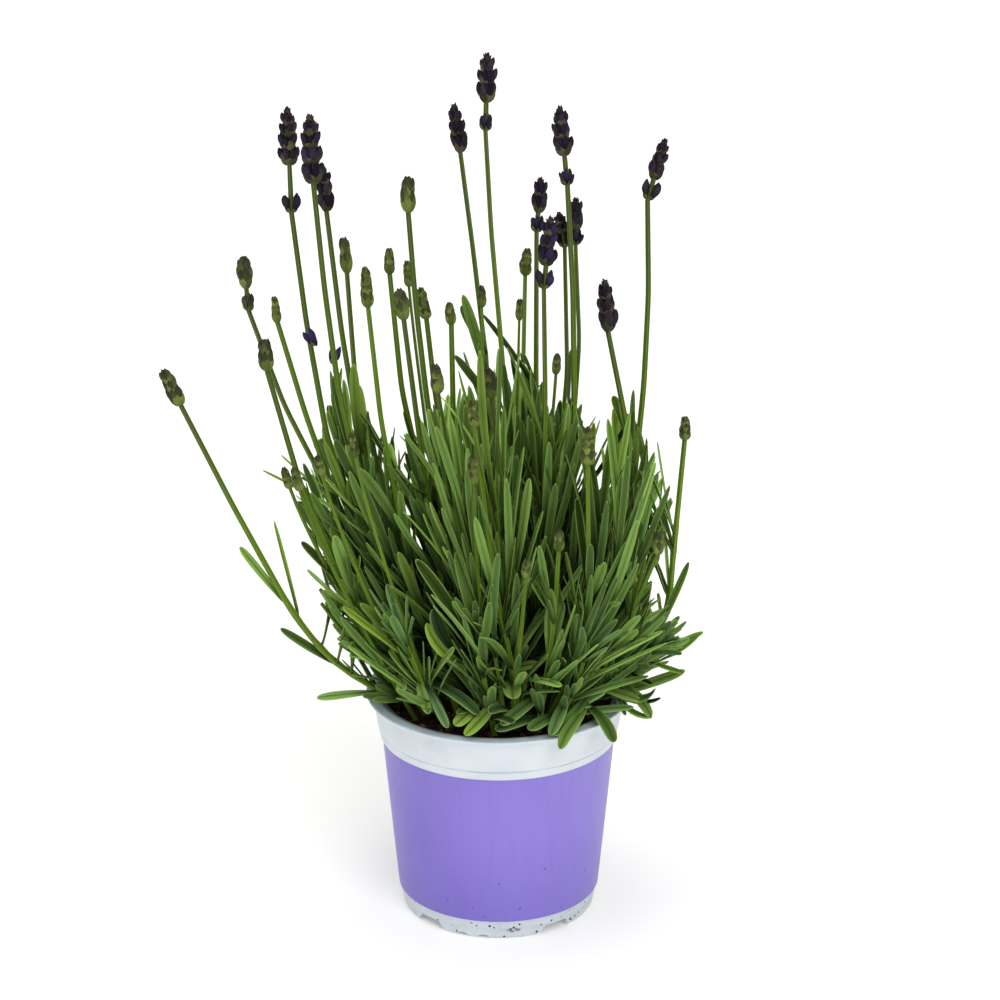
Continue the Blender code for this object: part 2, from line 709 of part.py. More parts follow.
def reaching_leaf(stem, station, face, tip, width, lift):
    """A leaf from this face of the stem to a tip, bowed upwards by its lift."""
    middle = station + NODE_HEIGHT * MM / 2
    point, tangent, _ = stem.at(middle)
    outward = stem.face_normal(middle, face)
    root = point + outward * stem.width(station) / 2
    chord = tip - root
    along = chord.normalized()
    bow = (tangent + outward * 0.4) * lift
    start = (along + bow).normalized()
    end = (along - bow).normalized()
    return Leaf(root, tangent.cross(outward).normalized(), start, end, chord.length * 1.03, width)


def mismatch(leaf, stem, station, face):
    """How badly a leaf to a wanted tip suits this face: 0 is best."""
    _, tangent, _ = stem.at(station)
    along = leaf.direction(0.5)
    sideways = (along - tangent * along.dot(tangent)).normalized()
    turned_away = 1 - sideways.dot(stem.face_normal(station, face))
    return turned_away * 1.5 + abs(leaf.length / MM - PLACED_LENGTH) / 14


def open_stations(stem, pairs):
    """Nodes that exist, and places far enough from them all for a new one."""
    stations = list(pairs)
    steps = int((stem.length * HIGHEST_NODE - FIRST_NODE * MM) / (STATION_STEP * MM))
    for step in range(steps + 1):
        station = (FIRST_NODE + step * STATION_STEP) * MM
        if all(abs(station - other) > NODE_CLEARANCE * MM for other in pairs):
            stations.append(station)
    return stations


def place_leaf(stem, pairs, tip, width, room):
    """Grow the wanted leaf from the place on the stem that suits it best and has room."""
    options = []
    least_upright = HANGING if tip.z < HANGING_HEIGHT * MM else UPRIGHT
    for station in open_stations(stem, pairs):
        for face in range(4):
            if pairs.get(station, {}).get(face) is not None:
                continue
            for lift in (0.25, 0.05, 0.45):
                leaf = reaching_leaf(stem, station, face, tip, width, lift)
                if not PLACED_LENGTHS[0] < leaf.length / MM < PLACED_LENGTHS[1]:
                    continue
                if leaf.direction(0.5).dot(stem.at(station)[1]) < least_upright:
                    continue
                cost = mismatch(leaf, stem, station, face) + abs(lift - 0.25)
                options.append((cost, station, face, leaf))
    for _, station, face, leaf in sorted(options, key=lambda option: option[0])[:PLACED_TRIES]:
        if take_room(leaf, stem, room):
            pairs.setdefault(station, {})[face] = leaf
            return


def take_room(leaf, stem, room):
    """Claim the leaf's space, unless something else is in it."""
    shell = leaf.shell(LEAF_CLEARANCE * MM)
    blade = leaf.shell(LEAF_CLEARANCE * MM, OFF_ITS_STEM, LEAF_THICKNESS * MM)
    if room.free(*shell, passing=stem) and room.free(*blade):
        room.add(*shell)
        return True
    return False


def outside_outline(tip):
    """True for a leaf tip that an eye in front of the plant sees outside its leafy part."""
    x, y, z = tip / MM
    share = EYE[1] / (EYE[1] - y)
    across = x * share
    height = EYE[2] + (z - EYE[2]) * share
    heights, left, right = zip(*LEAFY_SIDES)
    if not np.interp(height, heights, left) < across < np.interp(height, heights, right):
        return True
    places, tops = zip(*LEAFY_TOP)
    return height > np.interp(across, places, tops)


def add_pairs(stem, pairs, leafy_share, low_shoot, dice):
    """Add the opposite pairs, each at right angles to the last, between the placed leaves."""
    taken = list(pairs)
    station = FIRST_NODE * MM
    top = stem.length * leafy_share
    faces = (0, 2)
    while station < top - NODE_HEIGHT * MM:
        if all(abs(station - other) > NODE_CLEARANCE * MM for other in taken):
            pairs[station] = dict.fromkeys(faces)
        faces = (1, 3) if faces == (0, 2) else (0, 2)
        share = station / top
        pitch = LOW_INTERNODE * (1 - share) + HIGH_INTERNODE * share
        pitch *= LOW_SHOOT_INTERNODE if low_shoot else 1.0
        station += pitch * MM * dice.uniform(0.88, 1.12)
    for station in taken:
        for face in list(pairs[station]):
            if station < top:
                pairs[station].setdefault((face + 2) % 4, None)


def fill_places(stem, pairs, low_shoot, room, dice):
    """Grow a leaf on each face that is still free, where one of several tries has room."""
    for station, leaves in pairs.items():
        for face in [face for face, leaf in leaves.items() if leaf is None]:
            for attempt in range(LEAF_TRIES):
                leaf = tried_leaf(stem, station, face, low_shoot, attempt, dice)
                if outside_outline(leaf.point(1.0)):
                    continue
                if take_room(leaf, stem, room):
                    leaves[face] = leaf
                    break


# ------------------------------------------------------------ building a shoot


def nearest(corner, places):
    return min(range(len(places)), key=lambda index: (places[index] - corner).length_squared)


def extrude_to(bm, face, old, new):
    """Extrude a face, then move each new corner from its old place to its new one."""
    made = bmesh.ops.extrude_discrete_faces(bm, faces=[face])["faces"][0]
    moves = [(vert, nearest(vert.co, old)) for vert in made.verts]
    for vert, index in moves:
        vert.co = new[index]
    return made, sorted(made.verts, key=lambda vert: nearest(vert.co, new))


def close_to(bm, face, tip):
    """Extrude a face once more and draw the new end together into a point."""
    last = bmesh.ops.extrude_discrete_faces(bm, faces=[face])["faces"][0]
    bmesh.ops.pointmerge(bm, verts=last.verts[:], merge_co=tip)


def start_stem(bm, low, high):
    """The first length of stem: a cube shaped to its two rings."""
    made = bmesh.ops.create_cube(bm, size=1.0)["verts"]
    lower = []
    upper = []
    for a, b in CORNERS:
        for vert in made:
            if vert.co.x * a > 0 and vert.co.y * b > 0:
                (upper if vert.co.z > 0 else lower).append(vert)
    for verts, ring in ((lower, low), (upper, high)):
        for vert, place in zip(verts, ring):
            vert.co = place
    return lower, upper


def side_face(bm, lower, upper, face):
    """Side 0 looks along the stem's side vector, and the others follow round."""
    first, second = face, (face + 1) % 4
    return bm.faces.get((lower[first], lower[second], upper[second], upper[first]))


def extrude_leaf(bm, base, leaf):
    old = [vert.co.copy() for vert in base.verts]
    centre = sum(old, Vector()) / 4
    along = leaf.start
    up = leaf.across.cross(along)

    def quarter(place):
        offset = place - centre
        return (offset.dot(leaf.across) > 0, offset.dot(up) > 0)

    order = ((False, False), (True, False), (True, True), (False, True))
    old.sort(key=lambda place: order.index(quarter(place)))
    face = base
    for share, widening in zip(Leaf.STATIONS, Leaf.WIDTHS):
        new = leaf.section(share, leaf.width * widening, LEAF_THICKNESS * MM)
        face, _ = extrude_to(bm, face, old, new)
        old = new
    close_to(bm, face, leaf.point(1.0))


def stem_stations(stem, pairs):
    """Ring places along the stem: two for each leaf pair, then wider steps."""
    places = [0.0]
    for station in sorted(pairs):
        places += [station, station + NODE_HEIGHT * MM]
    bare = stem.length - places[-1]
    steps = max(int(bare / (BARE_STEP * MM)), 1)
    places += [places[-1] + bare * (step + 1) / steps for step in range(steps)]
    return places


def bud_rings(stem, tip, girth):
    """Sections of a closed green bud on the end of the stem."""
    neck, _, side = stem.at(stem.length)
    axis = tip - neck
    along = axis.normalized()
    side = (side - along * side.dot(along)).normalized()
    other = along.cross(side)
    rings = []
    for share, widening in ((0.18, 0.74), (0.55, 0.80), (0.88, 0.46)):
        half = girth * widening / 2
        centre = neck + axis * share
        rings.append([centre + side * half * a + other * half * b for a, b in CORNERS])
    return rings


def build_shoot(name, stem, pairs, collection, finish, bud=None):
    """One closed body: the square stem, its leaves and, on some, its green bud."""
    bm = bmesh.new()
    places = stem_stations(stem, pairs)
    rings = [stem.ring(place, stem.width(place)) for place in places]
    lower, upper = start_stem(bm, rings[0], rings[1])
    levels = [lower, upper]
    for index in range(1, len(places) - 1):
        cap = bm.faces.get(levels[-1])
        _, verts = extrude_to(bm, cap, rings[index], rings[index + 1])
        levels.append(verts)
    cap = bm.faces.get(levels[-1])
    if bud:
        tip, girth = bud
        old = rings[-1]
        for ring in bud_rings(stem, tip, girth):
            cap, _ = extrude_to(bm, cap, old, ring)
            old = ring
        close_to(bm, cap, tip)
    for station, leaves in pairs.items():
        level = places.index(station)
        for face, leaf in leaves.items():
            if leaf is None:
                continue
            extrude_leaf(bm, side_face(bm, levels[level], levels[level + 1], face), leaf)
    face_outwards(bm)
    return object_from(bm, name, collection, finish)


# ---------------------------------------------------------------- flower heads


def head_profile(length, girth, lower_whorl):
    """Stacked whorls on a thin axis, from the tip down. Millimetres."""
    body = length - lower_whorl
    whorls = max(round(body / WHORL_PITCH), 3)
    pitch = body / whorls
    profile = [(0.0, length)]
    for index in range(whorls):
        share = (index + 0.5) / whorls
        radius = girth / 2 * min(1.0, 0.55 + 0.9 * share)
        crown = length - index * pitch
        profile.append((radius * 0.9, crown - pitch * 0.35))
        profile.append((radius * 0.62, crown - pitch * 0.98))
    if lower_whorl:
        profile[-1] = (1.1, lower_whorl)
        profile.append((1.1, 7.0))
        profile.append((girth * 0.38, 4.5))
    profile.append((1.2, 0.6))
    profile.append((0.0, 0.0))
    return profile


def make_head(name, neck, tip, lower_whorl, girth, collection, finish):
    axis = tip - neck
    length = axis.length / MM - SEAT / MM
    head = turned(name, head_profile(length, girth, lower_whorl), HEAD_SIDES, collection, finish)
    head.location = neck + axis.normalized() * SEAT
    head.rotation_mode = "QUATERNION"
    head.rotation_quaternion = axis.to_track_quat("Z", "Y")


# ------------------------------------------------------------------- the plant


def shoot_plan(kind, number, route, tip=None, whorl=0, girth=0, share=1.0):
    """What one shoot is made from. Lengths of its own parts stay in millimetres."""
    points = whole_route(route)
    tip = Vector(tip) * MM if tip else None
    return SimpleNamespace(
        kind=kind,
        name=f"{kind}_{number:02d}",
        points=points,
        end=points[-1],
        tip=tip,
        whorl=whorl,
        girth=girth,
        share=share,
    )


def planned_shoots():
    shoots = []
    for number, (route, tip, whorl, girth, share) in enumerate(FLOWERING, 1):
        shoots.append(shoot_plan("flower_stem", number, route, tip, whorl, girth, share))
    for number, (route, tip, girth, share) in enumerate(BUDDING, 1):
        shoots.append(shoot_plan("budding_shoot", number, route, tip, 0, girth, share))
    for number, route in enumerate(LEAFY, 1):
        shoots.append(shoot_plan("leafy_shoot", number, route))
    return shoots


def first_curve(shoot):
    """The shoot's smooth route, which ends pointing at its flower head or onwards."""
    points = shoot.points
    last = points[-1] - points[-2]
    onwards = (shoot.tip or shoot.end + last) - shoot.end
    beyond = shoot.end + onwards.normalized() * last.length
    straight = sum((b - a).length for a, b in zip(points, points[1:]))
    return smooth_curve(points, beyond, max(int(straight / (CURVE_STEP * MM)), 6))


def head_line(shoot):
    share = np.linspace(0.0, 1.0, HEAD_POINTS)[:, None]
    return np.array(shoot.end) * (1 - share) + np.array(shoot.tip) * share


def spread_curves(shoots):
    """The shoots' curves, moved apart from each other and from the still heads."""
    curves = [first_curve(shoot) for shoot in shoots]
    headed = [index for index, shoot in enumerate(shoots) if shoot.tip]
    heads = [head_line(shoots[index]) for index in headed]
    reach = [np.full(len(curve), STEM_SPACING * MM) for curve in curves]
    reach += [np.full(HEAD_POINTS, (shoots[index].girth / 2 + HEAD_SPACING) * MM) for index in headed]
    for _ in range(SPREAD_ROUNDS):
        ends = [curves[index][-3:].copy() for index in headed]
        spread_apart(curves + [head.copy() for head in heads], reach)
        for index, end in zip(headed, ends):
            curves[index][-3:] = end
    return curves


def make_plant(parts):
    dice = random.Random(SEED)
    foliage = material("foliage")
    calyx = material("ripe_calyx")
    shoots = planned_shoots()
    room = Room()
    room.add(*round_shell(POT_KEEP_OUT))
    for shoot, curve in zip(shoots, spread_curves(shoots)):
        shoot.stem = Stem(curve, dice.uniform(0, math.tau / 4))
        room.add(*stem_shell(shoot.stem, LEAF_CLEARANCE * MM), owner=shoot.stem)
        if shoot.tip:
            room.add(*head_shell(shoot.end, shoot.tip, shoot.girth * MM, LEAF_CLEARANCE * MM))
    shoots_low_first = sorted(shoots, key=lambda shoot: shoot.kind != "leafy_shoot")
    for shoot in shoots_low_first:
        shoot.pairs = {}
        for tip, width in PLACED_LEAVES.get(shoot.name, ()):
            place_leaf(shoot.stem, shoot.pairs, Vector(tip) * MM, width * MM, room)
    for shoot in shoots_low_first:
        low_shoot = shoot.kind == "leafy_shoot"
        add_pairs(shoot.stem, shoot.pairs, shoot.share, low_shoot, dice)
        fill_places(shoot.stem, shoot.pairs, low_shoot, room, dice)
    for shoot in shoots:
        bud = (shoot.tip, shoot.girth * MM) if shoot.kind == "budding_shoot" else None
        build_shoot(shoot.name, shoot.stem, shoot.pairs, parts, foliage, bud)
        if shoot.kind == "flower_stem":
            name = shoot.name.replace("stem", "head")
            make_head(name, shoot.end, shoot.tip, shoot.whorl, shoot.girth, parts, calyx)


def main():
    clear_scene()
    parts = new_collection("potted_lavender")
    cutters = new_collection("cutters")
    make_pot(parts, cutters)
    turned("soil", soil_profile(), POT_SIDES, parts, material("potting_soil"))
    make_plant(parts)


main()
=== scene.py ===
import math
import random

import bmesh
import bpy
import numpy as np
from mathutils import Matrix, Vector


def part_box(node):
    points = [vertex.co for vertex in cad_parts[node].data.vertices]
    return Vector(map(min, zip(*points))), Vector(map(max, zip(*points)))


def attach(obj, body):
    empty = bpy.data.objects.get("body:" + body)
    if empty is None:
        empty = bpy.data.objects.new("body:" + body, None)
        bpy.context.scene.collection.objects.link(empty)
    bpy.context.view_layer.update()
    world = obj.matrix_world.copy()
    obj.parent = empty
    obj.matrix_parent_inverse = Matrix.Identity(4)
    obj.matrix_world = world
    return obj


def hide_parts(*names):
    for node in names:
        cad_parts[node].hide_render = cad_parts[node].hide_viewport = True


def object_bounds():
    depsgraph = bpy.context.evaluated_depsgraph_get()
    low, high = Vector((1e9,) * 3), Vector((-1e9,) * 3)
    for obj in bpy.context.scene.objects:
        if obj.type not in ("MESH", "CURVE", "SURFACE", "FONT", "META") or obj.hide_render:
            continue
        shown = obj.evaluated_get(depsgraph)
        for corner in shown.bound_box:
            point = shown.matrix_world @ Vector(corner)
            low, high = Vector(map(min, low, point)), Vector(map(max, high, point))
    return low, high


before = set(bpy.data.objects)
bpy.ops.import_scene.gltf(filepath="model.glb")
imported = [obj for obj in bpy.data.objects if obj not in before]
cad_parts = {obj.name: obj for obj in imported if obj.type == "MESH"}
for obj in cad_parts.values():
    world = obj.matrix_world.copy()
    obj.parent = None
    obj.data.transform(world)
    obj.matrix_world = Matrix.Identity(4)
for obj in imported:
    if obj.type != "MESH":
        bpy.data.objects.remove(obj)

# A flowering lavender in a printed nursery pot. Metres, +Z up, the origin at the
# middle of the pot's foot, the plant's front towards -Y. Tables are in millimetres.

frame_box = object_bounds()
MM = 0.001
dice = random.Random(41)
bpy.context.scene.view_settings.view_transform = "Standard"
CAMERA_PLACE = Vector((0.7, -1442.8, 747.3)) * MM
CAMERA_DIP = 20.38  # degrees below level


# ------------------------------------------------------------------ hand tools


def take_up(obj):
    """Make the object the only one in hand."""
    bpy.ops.object.select_all(action="DESELECT")
    obj.select_set(True)
    bpy.context.view_layer.objects.active = obj


def open_mesh(obj, mode="VERT"):
    take_up(obj)
    bpy.ops.object.mode_set(mode="EDIT")
    bpy.ops.mesh.select_mode(type=mode)


def close_mesh():
    bpy.ops.object.mode_set(mode="OBJECT")


def pick(wanted, kind="verts"):
    """Select what is wanted of the mesh that is open."""
    bpy.ops.mesh.select_all(action="DESELECT")
    mesh = bpy.context.object.data
    bm = bmesh.from_edit_mesh(mesh)
    for part in getattr(bm, kind):
        if wanted(part):
            part.select_set(True)
    bm.select_flush_mode()
    bmesh.update_edit_mesh(mesh)


def pull_out(value):
    bpy.ops.mesh.extrude_region_move(TRANSFORM_OT_translate={"value": value})


def pick_all():
    bpy.ops.mesh.select_all(action="SELECT")


def resize(x, y, z, centre=(0, 0, 0)):
    bpy.ops.transform.resize(value=(x, y, z), center_override=centre)


def turn_outwards():
    pick_all()
    bpy.ops.mesh.normals_make_consistent(inside=False)


def apply_modifier(obj, kind, **settings):
    modifier = obj.modifiers.new(kind.title(), kind)
    for name, value in settings.items():
        setattr(modifier, name, value)
    take_up(obj)
    bpy.ops.object.modifier_apply(modifier=modifier.name)


def throw_away(obj):
    bpy.data.objects.remove(obj, do_unlink=True)


# ------------------------------------------------------------------- materials


def colour(red, green, blue):
    """A screen colour, 0 to 255, as the shader's linear one."""
    shares = [channel / 255 for channel in (red, green, blue)]
    linear = [s / 12.92 if s < 0.04045 else ((s + 0.055) / 1.055) ** 2.4 for s in shares]
    return (*linear, 1.0)


class Finish:
    """A material built up node by node, its colour laid on coat by coat.

    A share or a roughness is a socket, a number or what ramp takes, and a shade is a
    socket or a screen colour.
    """

    def __init__(self, name, roughness=0.5, **settings):
        self.material = bpy.data.materials.new(name)
        self.material.use_nodes = True
        self.nodes = self.material.node_tree.nodes
        self.links = self.material.node_tree.links
        self.shader = self.nodes["Principled BSDF"]
        self.shader.inputs["Roughness"].default_value = roughness
        for socket, value in settings.items():
            self.shader.inputs[socket.replace("_", " ")].default_value = value
        self.place = self.node("TexCoord").outputs["Object"]

    def node(self, kind, inputs=(), **settings):
        made = self.nodes.new("ShaderNode" + kind)
        for name, value in settings.items():
            setattr(made, name, value)
        for socket, value in dict(inputs).items():
            self.feed(made.inputs[socket], value)
        return made

    def feed(self, socket, value):
        if isinstance(value, tuple) and socket.type == "VALUE":
            value = self.ramp(*value)
        elif isinstance(value, tuple) and socket.type == "RGBA" and len(value) == 3:
            value = colour(*value)
        if isinstance(value, bpy.types.NodeSocket):
            self.links.new(value, socket)
        else:
            socket.default_value = value

    def grain(self, scale, detail=3.0, roughness=0.55, where=None):
        inputs = {"Vector": where or self.place, "Scale": scale, "Detail": detail}
        return self.node("TexNoise", inputs | {"Roughness": roughness}).outputs["Fac"]

    def cells(self, scale, output="Distance"):
        return self.node("TexVoronoi", {"Vector": self.place, "Scale": scale}).outputs[output]

    def math(self, operation, first, second=0.0):
        return self.node("Math", {0: first, 1: second}, operation=operation).outputs[0]

    def times(self, first, second):
        return self.math("MULTIPLY", first, second)

    def ramp(self, value, low, high, start=0.0, end=1.0):
        inputs = {"Value": value, "From Min": low, "From Max": high, "To Min": start, "To Max": end}
        return self.node("MapRange", inputs, interpolation_type="SMOOTHSTEP").outputs[0]

    def mix(self, share, first, second):
        return self.node("Mix", {0: share, 6: first, 7: second}, data_type="RGBA").outputs[2]

    def coat(self, share, *shade):
        """Lay a screen colour over what is there."""
        self.base = self.mix(share, self.base, shade)

    def parts(self, vector):
        return self.node("SeparateXYZ", {0: vector}).outputs

    def stretched(self, x, y, z, where=None):
        return self.node("Mapping", {"Vector": where or self.place, "Scale": (x, y, z)}).outputs[0]

    def tone(self):
        """The three numbers that each grown part carries."""
        attribute = self.node("Attribute", attribute_name="tone", attribute_type="GEOMETRY")
        return self.parts(attribute.outputs["Vector"])

    def grown(self):
        """Where a point lies on a grown part: across it, and along it from its foot."""
        return self.parts(self.node("UVMap", uv_map="grown").outputs[0])[:2]

    def skin(self, roughness, bump, depth, strength):
        made = self.node("Bump", {"Height": bump, "Distance": depth, "Strength": strength})
        self.feed(self.shader.inputs["Base Color"], self.base)
        self.feed(self.shader.inputs["Roughness"], roughness)
        self.feed(self.shader.inputs["Normal"], made.outputs[0])
        return self.material


def round_the_pot(finish):
    """(distance from the pot's axis, height, share of the way round to the front right)."""
    x, y, z = finish.parts(finish.place)
    squares = finish.math("POWER", x, 2.0), finish.math("POWER", y, 2.0)
    radius = finish.math("SQRT", finish.math("ADD", *squares))
    towards = finish.math("SUBTRACT", finish.times(x, 0.6), finish.times(y, 0.8))
    return radius, z, finish.math("DIVIDE", towards, radius)


def specks(finish, scale, size, share):
    """Round dark flecks of soil: 1 inside a fleck, for a share of the cells."""
    near = finish.cells(scale)
    luck, other, _ = finish.parts(finish.cells(scale, "Color"))
    ragged = finish.math("ADD", near, finish.times(finish.grain(1800.0), 0.2))
    ragged = finish.math("ADD", ragged, finish.times(other, 0.16))
    inside = finish.ramp(ragged, size, size * 0.7)
    return finish.times(inside, finish.math("LESS_THAN", luck, share))


def printed_band():
    finish = Finish("printed_band")
    _, height, front_right = round_the_pot(finish)
    # Lighter towards the front right: painted light.
    finish.base = finish.mix((front_right, -0.2, 1.0), (112, 94, 188), (134, 117, 206))
    # Lighter towards the left and right edges, seen from the front: painted light.
    across = finish.math("ABSOLUTE", finish.parts(finish.place)[0])
    finish.coat((across, 26 * MM, 56 * MM, 0.0, 0.4), 136, 120, 208)
    # Darker towards the bottom.
    finish.coat((height, 62 * MM, 12 * MM, 0.0, 0.5), 106, 89, 184)
    finish.coat((finish.grain(24.0, 2.0), 0.36, 0.66, 0.0, 0.22), 134, 117, 206)
    streak = finish.grain(1.0, 2.0, where=finish.stretched(260.0, 260.0, 9.0))
    finish.coat((streak, 0.45, 0.75, 0.0, 0.10), 98, 82, 174)
    low = finish.ramp(height, 50 * MM, 14 * MM)
    share = finish.times(low, (front_right, -0.2, 1.0, 0.1, 0.3))
    finish.coat(finish.times(specks(finish, 400.0, 0.38, share), 0.8), 58, 40, 62)
    rough = (finish.grain(900.0), 0.3, 0.7, 0.38, 0.48)
    return finish.skin(rough, finish.grain(1400.0, 2.0), 0.00004, 0.5)


def bare_plastic():
    """The pot's own plastic: a moulded line under the rim, and soil splashed on its foot."""
    finish = Finish("bare_plastic")
    _, height, front_right = round_the_pot(finish)
    finish.base = finish.mix((finish.grain(35.0), 0.35, 0.7), (212, 219, 226), (203, 211, 219))
    smudge = finish.ramp(finish.grain(70.0, 5.0, 0.65), 0.56, 0.78)
    finish.coat(finish.times(smudge, 0.30), 176, 184, 186)
    from_line = finish.math("ABSOLUTE", finish.math("SUBTRACT", height, MOULDED_LINE * MM))
    line = finish.ramp(from_line, 0.55 * MM, 0.2 * MM)
    finish.coat(finish.times(line, (finish.grain(50.0), 0.3, 0.6, 0.25, 0.8)), 158, 168, 176)
    foot = finish.ramp(height, 12 * MM, 9 * MM)
    finish.coat(finish.times(foot, 0.5), 190, 198, 204)
    grime = finish.times((finish.grain(240.0, 5.0, 0.7), 0.48, 0.70), foot)
    finish.coat(finish.times(grime, 0.2), 120, 120, 118)
    share = finish.times(foot, (front_right, -0.6, 1.0, 0.16, 0.46))
    finish.coat(specks(finish, 430.0, 0.5, share), 22, 17, 14)
    x, z = SMEAR
    moved = finish.node("Mapping", {"Vector": finish.place, "Location": (-x * MM, 0, -z * MM)})
    across, _, up = finish.parts(moved.outputs[0])
    aside = finish.math("POWER", finish.math("DIVIDE", across, 4.4 * MM), 2.0)
    above = finish.math("POWER", finish.math("DIVIDE", up, 1.5 * MM), 2.0)
    smear = finish.ramp(finish.math("ADD", aside, above), 1.0, 0.4)
    smear = finish.times(smear, (finish.grain(900.0, 4.0, 0.7), 0.45, 0.52))
    finish.coat(finish.times(smear, (front_right, 0.4, 0.6)), 74, 46, 32)
    finish.coat(finish.times(specks(finish, 90.0, 0.06, 0.2), 0.7), 90, 80, 70)
    rough = (finish.grain(500.0), 0.3, 0.7, 0.38, 0.52)
    return finish.skin(rough, finish.grain(800.0), 0.00005, 0.5)


def lip_plastic():
    """The rim's top: the same plastic, a little rougher, with painted shade: grey-blue under the
    leaves that hang over it and darker inwards, with soil dust inside.
    """
    finish = Finish("lip_plastic")
    radius, _, _ = round_the_pot(finish)
    streaks = finish.grain(60.0, 4.0, 0.6)
    # Grey-blue, darker than the bare plastic: painted shade from the leaves overhead.
    finish.base = finish.mix((streaks, 0.3, 0.7), (166, 179, 187), (184, 197, 205))
    # Darker inside the outer ring: painted shade.
    finish.coat((radius, 61.6 * MM, 59.6 * MM), 124, 136, 140)
    dusty = finish.ramp(finish.grain(420.0, 5.0, 0.7), 0.45, 0.75)
    finish.coat(finish.times(dusty, (radius, 60 * MM, 56 * MM, 0.05, 0.75)), 56, 44, 36)
    rough = (finish.grain(300.0), 0.3, 0.7, 0.42, 0.62)
    return finish.skin(rough, finish.grain(700.0), 0.00008, 0.5)


def damp_soil():
    finish = Finish("damp_soil", Specular_IOR_Level=0.08)
    lumps = finish.cells(420.0)
    broad = finish.grain(90.0, 5.0, 0.6)
    finish.base = finish.mix((broad, 0.35, 0.7), (38, 25, 20), (66, 42, 31))
    finish.coat((lumps, 0.25, 0.75, 0.0, 0.8), 24, 16, 14)
    fibre = finish.grain(1.0, 3.0, where=finish.stretched(900.0, 140.0, 500.0))
    finish.coat((fibre, 0.62, 0.74, 0.0, 0.6), 116, 70, 44)
    height = finish.math("ADD", lumps, finish.grain(1500.0, 4.0, 0.7))
    return finish.skin((broad, 0.3, 0.7, 0.78, 0.95), height, 0.0006, 0.9)


def crumbs():
    finish = Finish("peat_crumbs", Specular_IOR_Level=0.08)
    luck, red, _ = finish.tone()
    finish.base = finish.mix(luck, (34, 22, 18), (74, 48, 35))
    finish.coat((red, 0.82, 0.95), 128, 80, 50)
    pits = finish.grain(1600.0, 4.0, 0.7)
    finish.coat((pits, 0.5, 0.8, 0.0, 0.5), 20, 14, 12)
    return finish.skin((pits, 0.3, 0.7, 0.8, 0.97), pits, 0.0004, 0.9)


def leaf_blade():
    """Tone's numbers: how light, how yellow, how grey and felted."""
    finish = Finish("leaf_blade", Specular_IOR_Level=0.05)
    light, yellow, grey = finish.tone()
    across, along = finish.grown()
    underside = finish.ramp(across, 1.4, 1.6)
    across = finish.math("SUBTRACT", across, finish.times(underside, 2.0))
    from_rib = finish.math("ABSOLUTE", finish.math("SUBTRACT", across, 0.5))
    mottle = finish.grain(320.0, 4.0, 0.6)
    finish.base = finish.mix((mottle, 0.35, 0.7), (23, 60, 8), (41, 84, 16))
    finish.base = finish.mix((light, 0.0, 0.3), (7, 27, 2), finish.base)
    finish.coat(light, 170, 212, 104)
    finish.coat(yellow, 140, 164, 38)
    finish.coat(grey, 98, 130, 84)
    streaks = finish.node("CombineXYZ", {0: across, 1: along, 2: light}).outputs[0]
    veins = finish.grain(1.0, 2.0, where=finish.stretched(26.0, 2.2, 40.0, streaks))
    finish.coat((veins, 0.42, 0.7, 0.0, 0.35), 32, 58, 16)
    # Darker in the midrib groove and lighter towards the margins: painted shade and painted light
    # on the fold.
    finish.coat((from_rib, 0.2, 0.02, 0.0, 0.5), 18, 38, 8)
    finish.coat((from_rib, 0.34, 0.47, 0.0, 0.6), 150, 186, 100)
    finish.coat(finish.times(underside, 0.4), 96, 126, 64)
    finish.coat((along, 0.97, 0.998, 0.0, 0.5), 172, 178, 104)
    # Darker towards the leaf's foot: painted shade.
    finish.coat((along, 0.0, 0.5, 0.72, 0.0), 6, 24, 2)
    # Darker near the plant's axis and low down: painted shade inside the plant.
    radius, height, _ = round_the_pot(finish)
    inner = finish.ramp(radius, 66 * MM, 30 * MM)
    finish.coat(finish.times(inner, (height, 240 * MM, 160 * MM, 0.0, 0.8)), 4, 17, 1)
    felt = finish.times(finish.grain(2600.0, 2.0, 0.6), 0.35)
    raised = finish.math("ADD", finish.times(veins, 0.7), felt)
    return finish.skin((mottle, 0.3, 0.7, 0.5, 0.64), raised, 0.0002, 0.5)


def stalk_skin():
    """Tone's numbers: ridge or hollow, share of the way to the flowers, luck."""
    finish = Finish("stalk_skin", Specular_IOR_Level=0.08)
    ridge, upwards, luck = finish.tone()
    fleck = finish.grain(1.0, 3.0, where=finish.stretched(1500.0, 1500.0, 120.0))
    finish.base = finish.mix(luck, (82, 112, 20), (106, 136, 34))
    finish.coat((upwards, 0.5, 1.0, 0.0, 0.9), 70, 80, 38)
    # Lighter on the ridges and darker in the hollows: painted light and painted shade.
    finish.coat((ridge, 0.3, 1.0, 0.0, 0.3), 122, 142, 72)
    finish.coat((ridge, 0.4, 0.0, 0.0, 0.45), 50, 70, 26)
    finish.coat((fleck, 0.45, 0.75, 0.0, 0.35), 56, 74, 30)
    return finish.skin((fleck, 0.3, 0.7, 0.42, 0.58), fleck, 0.00012, 0.6)


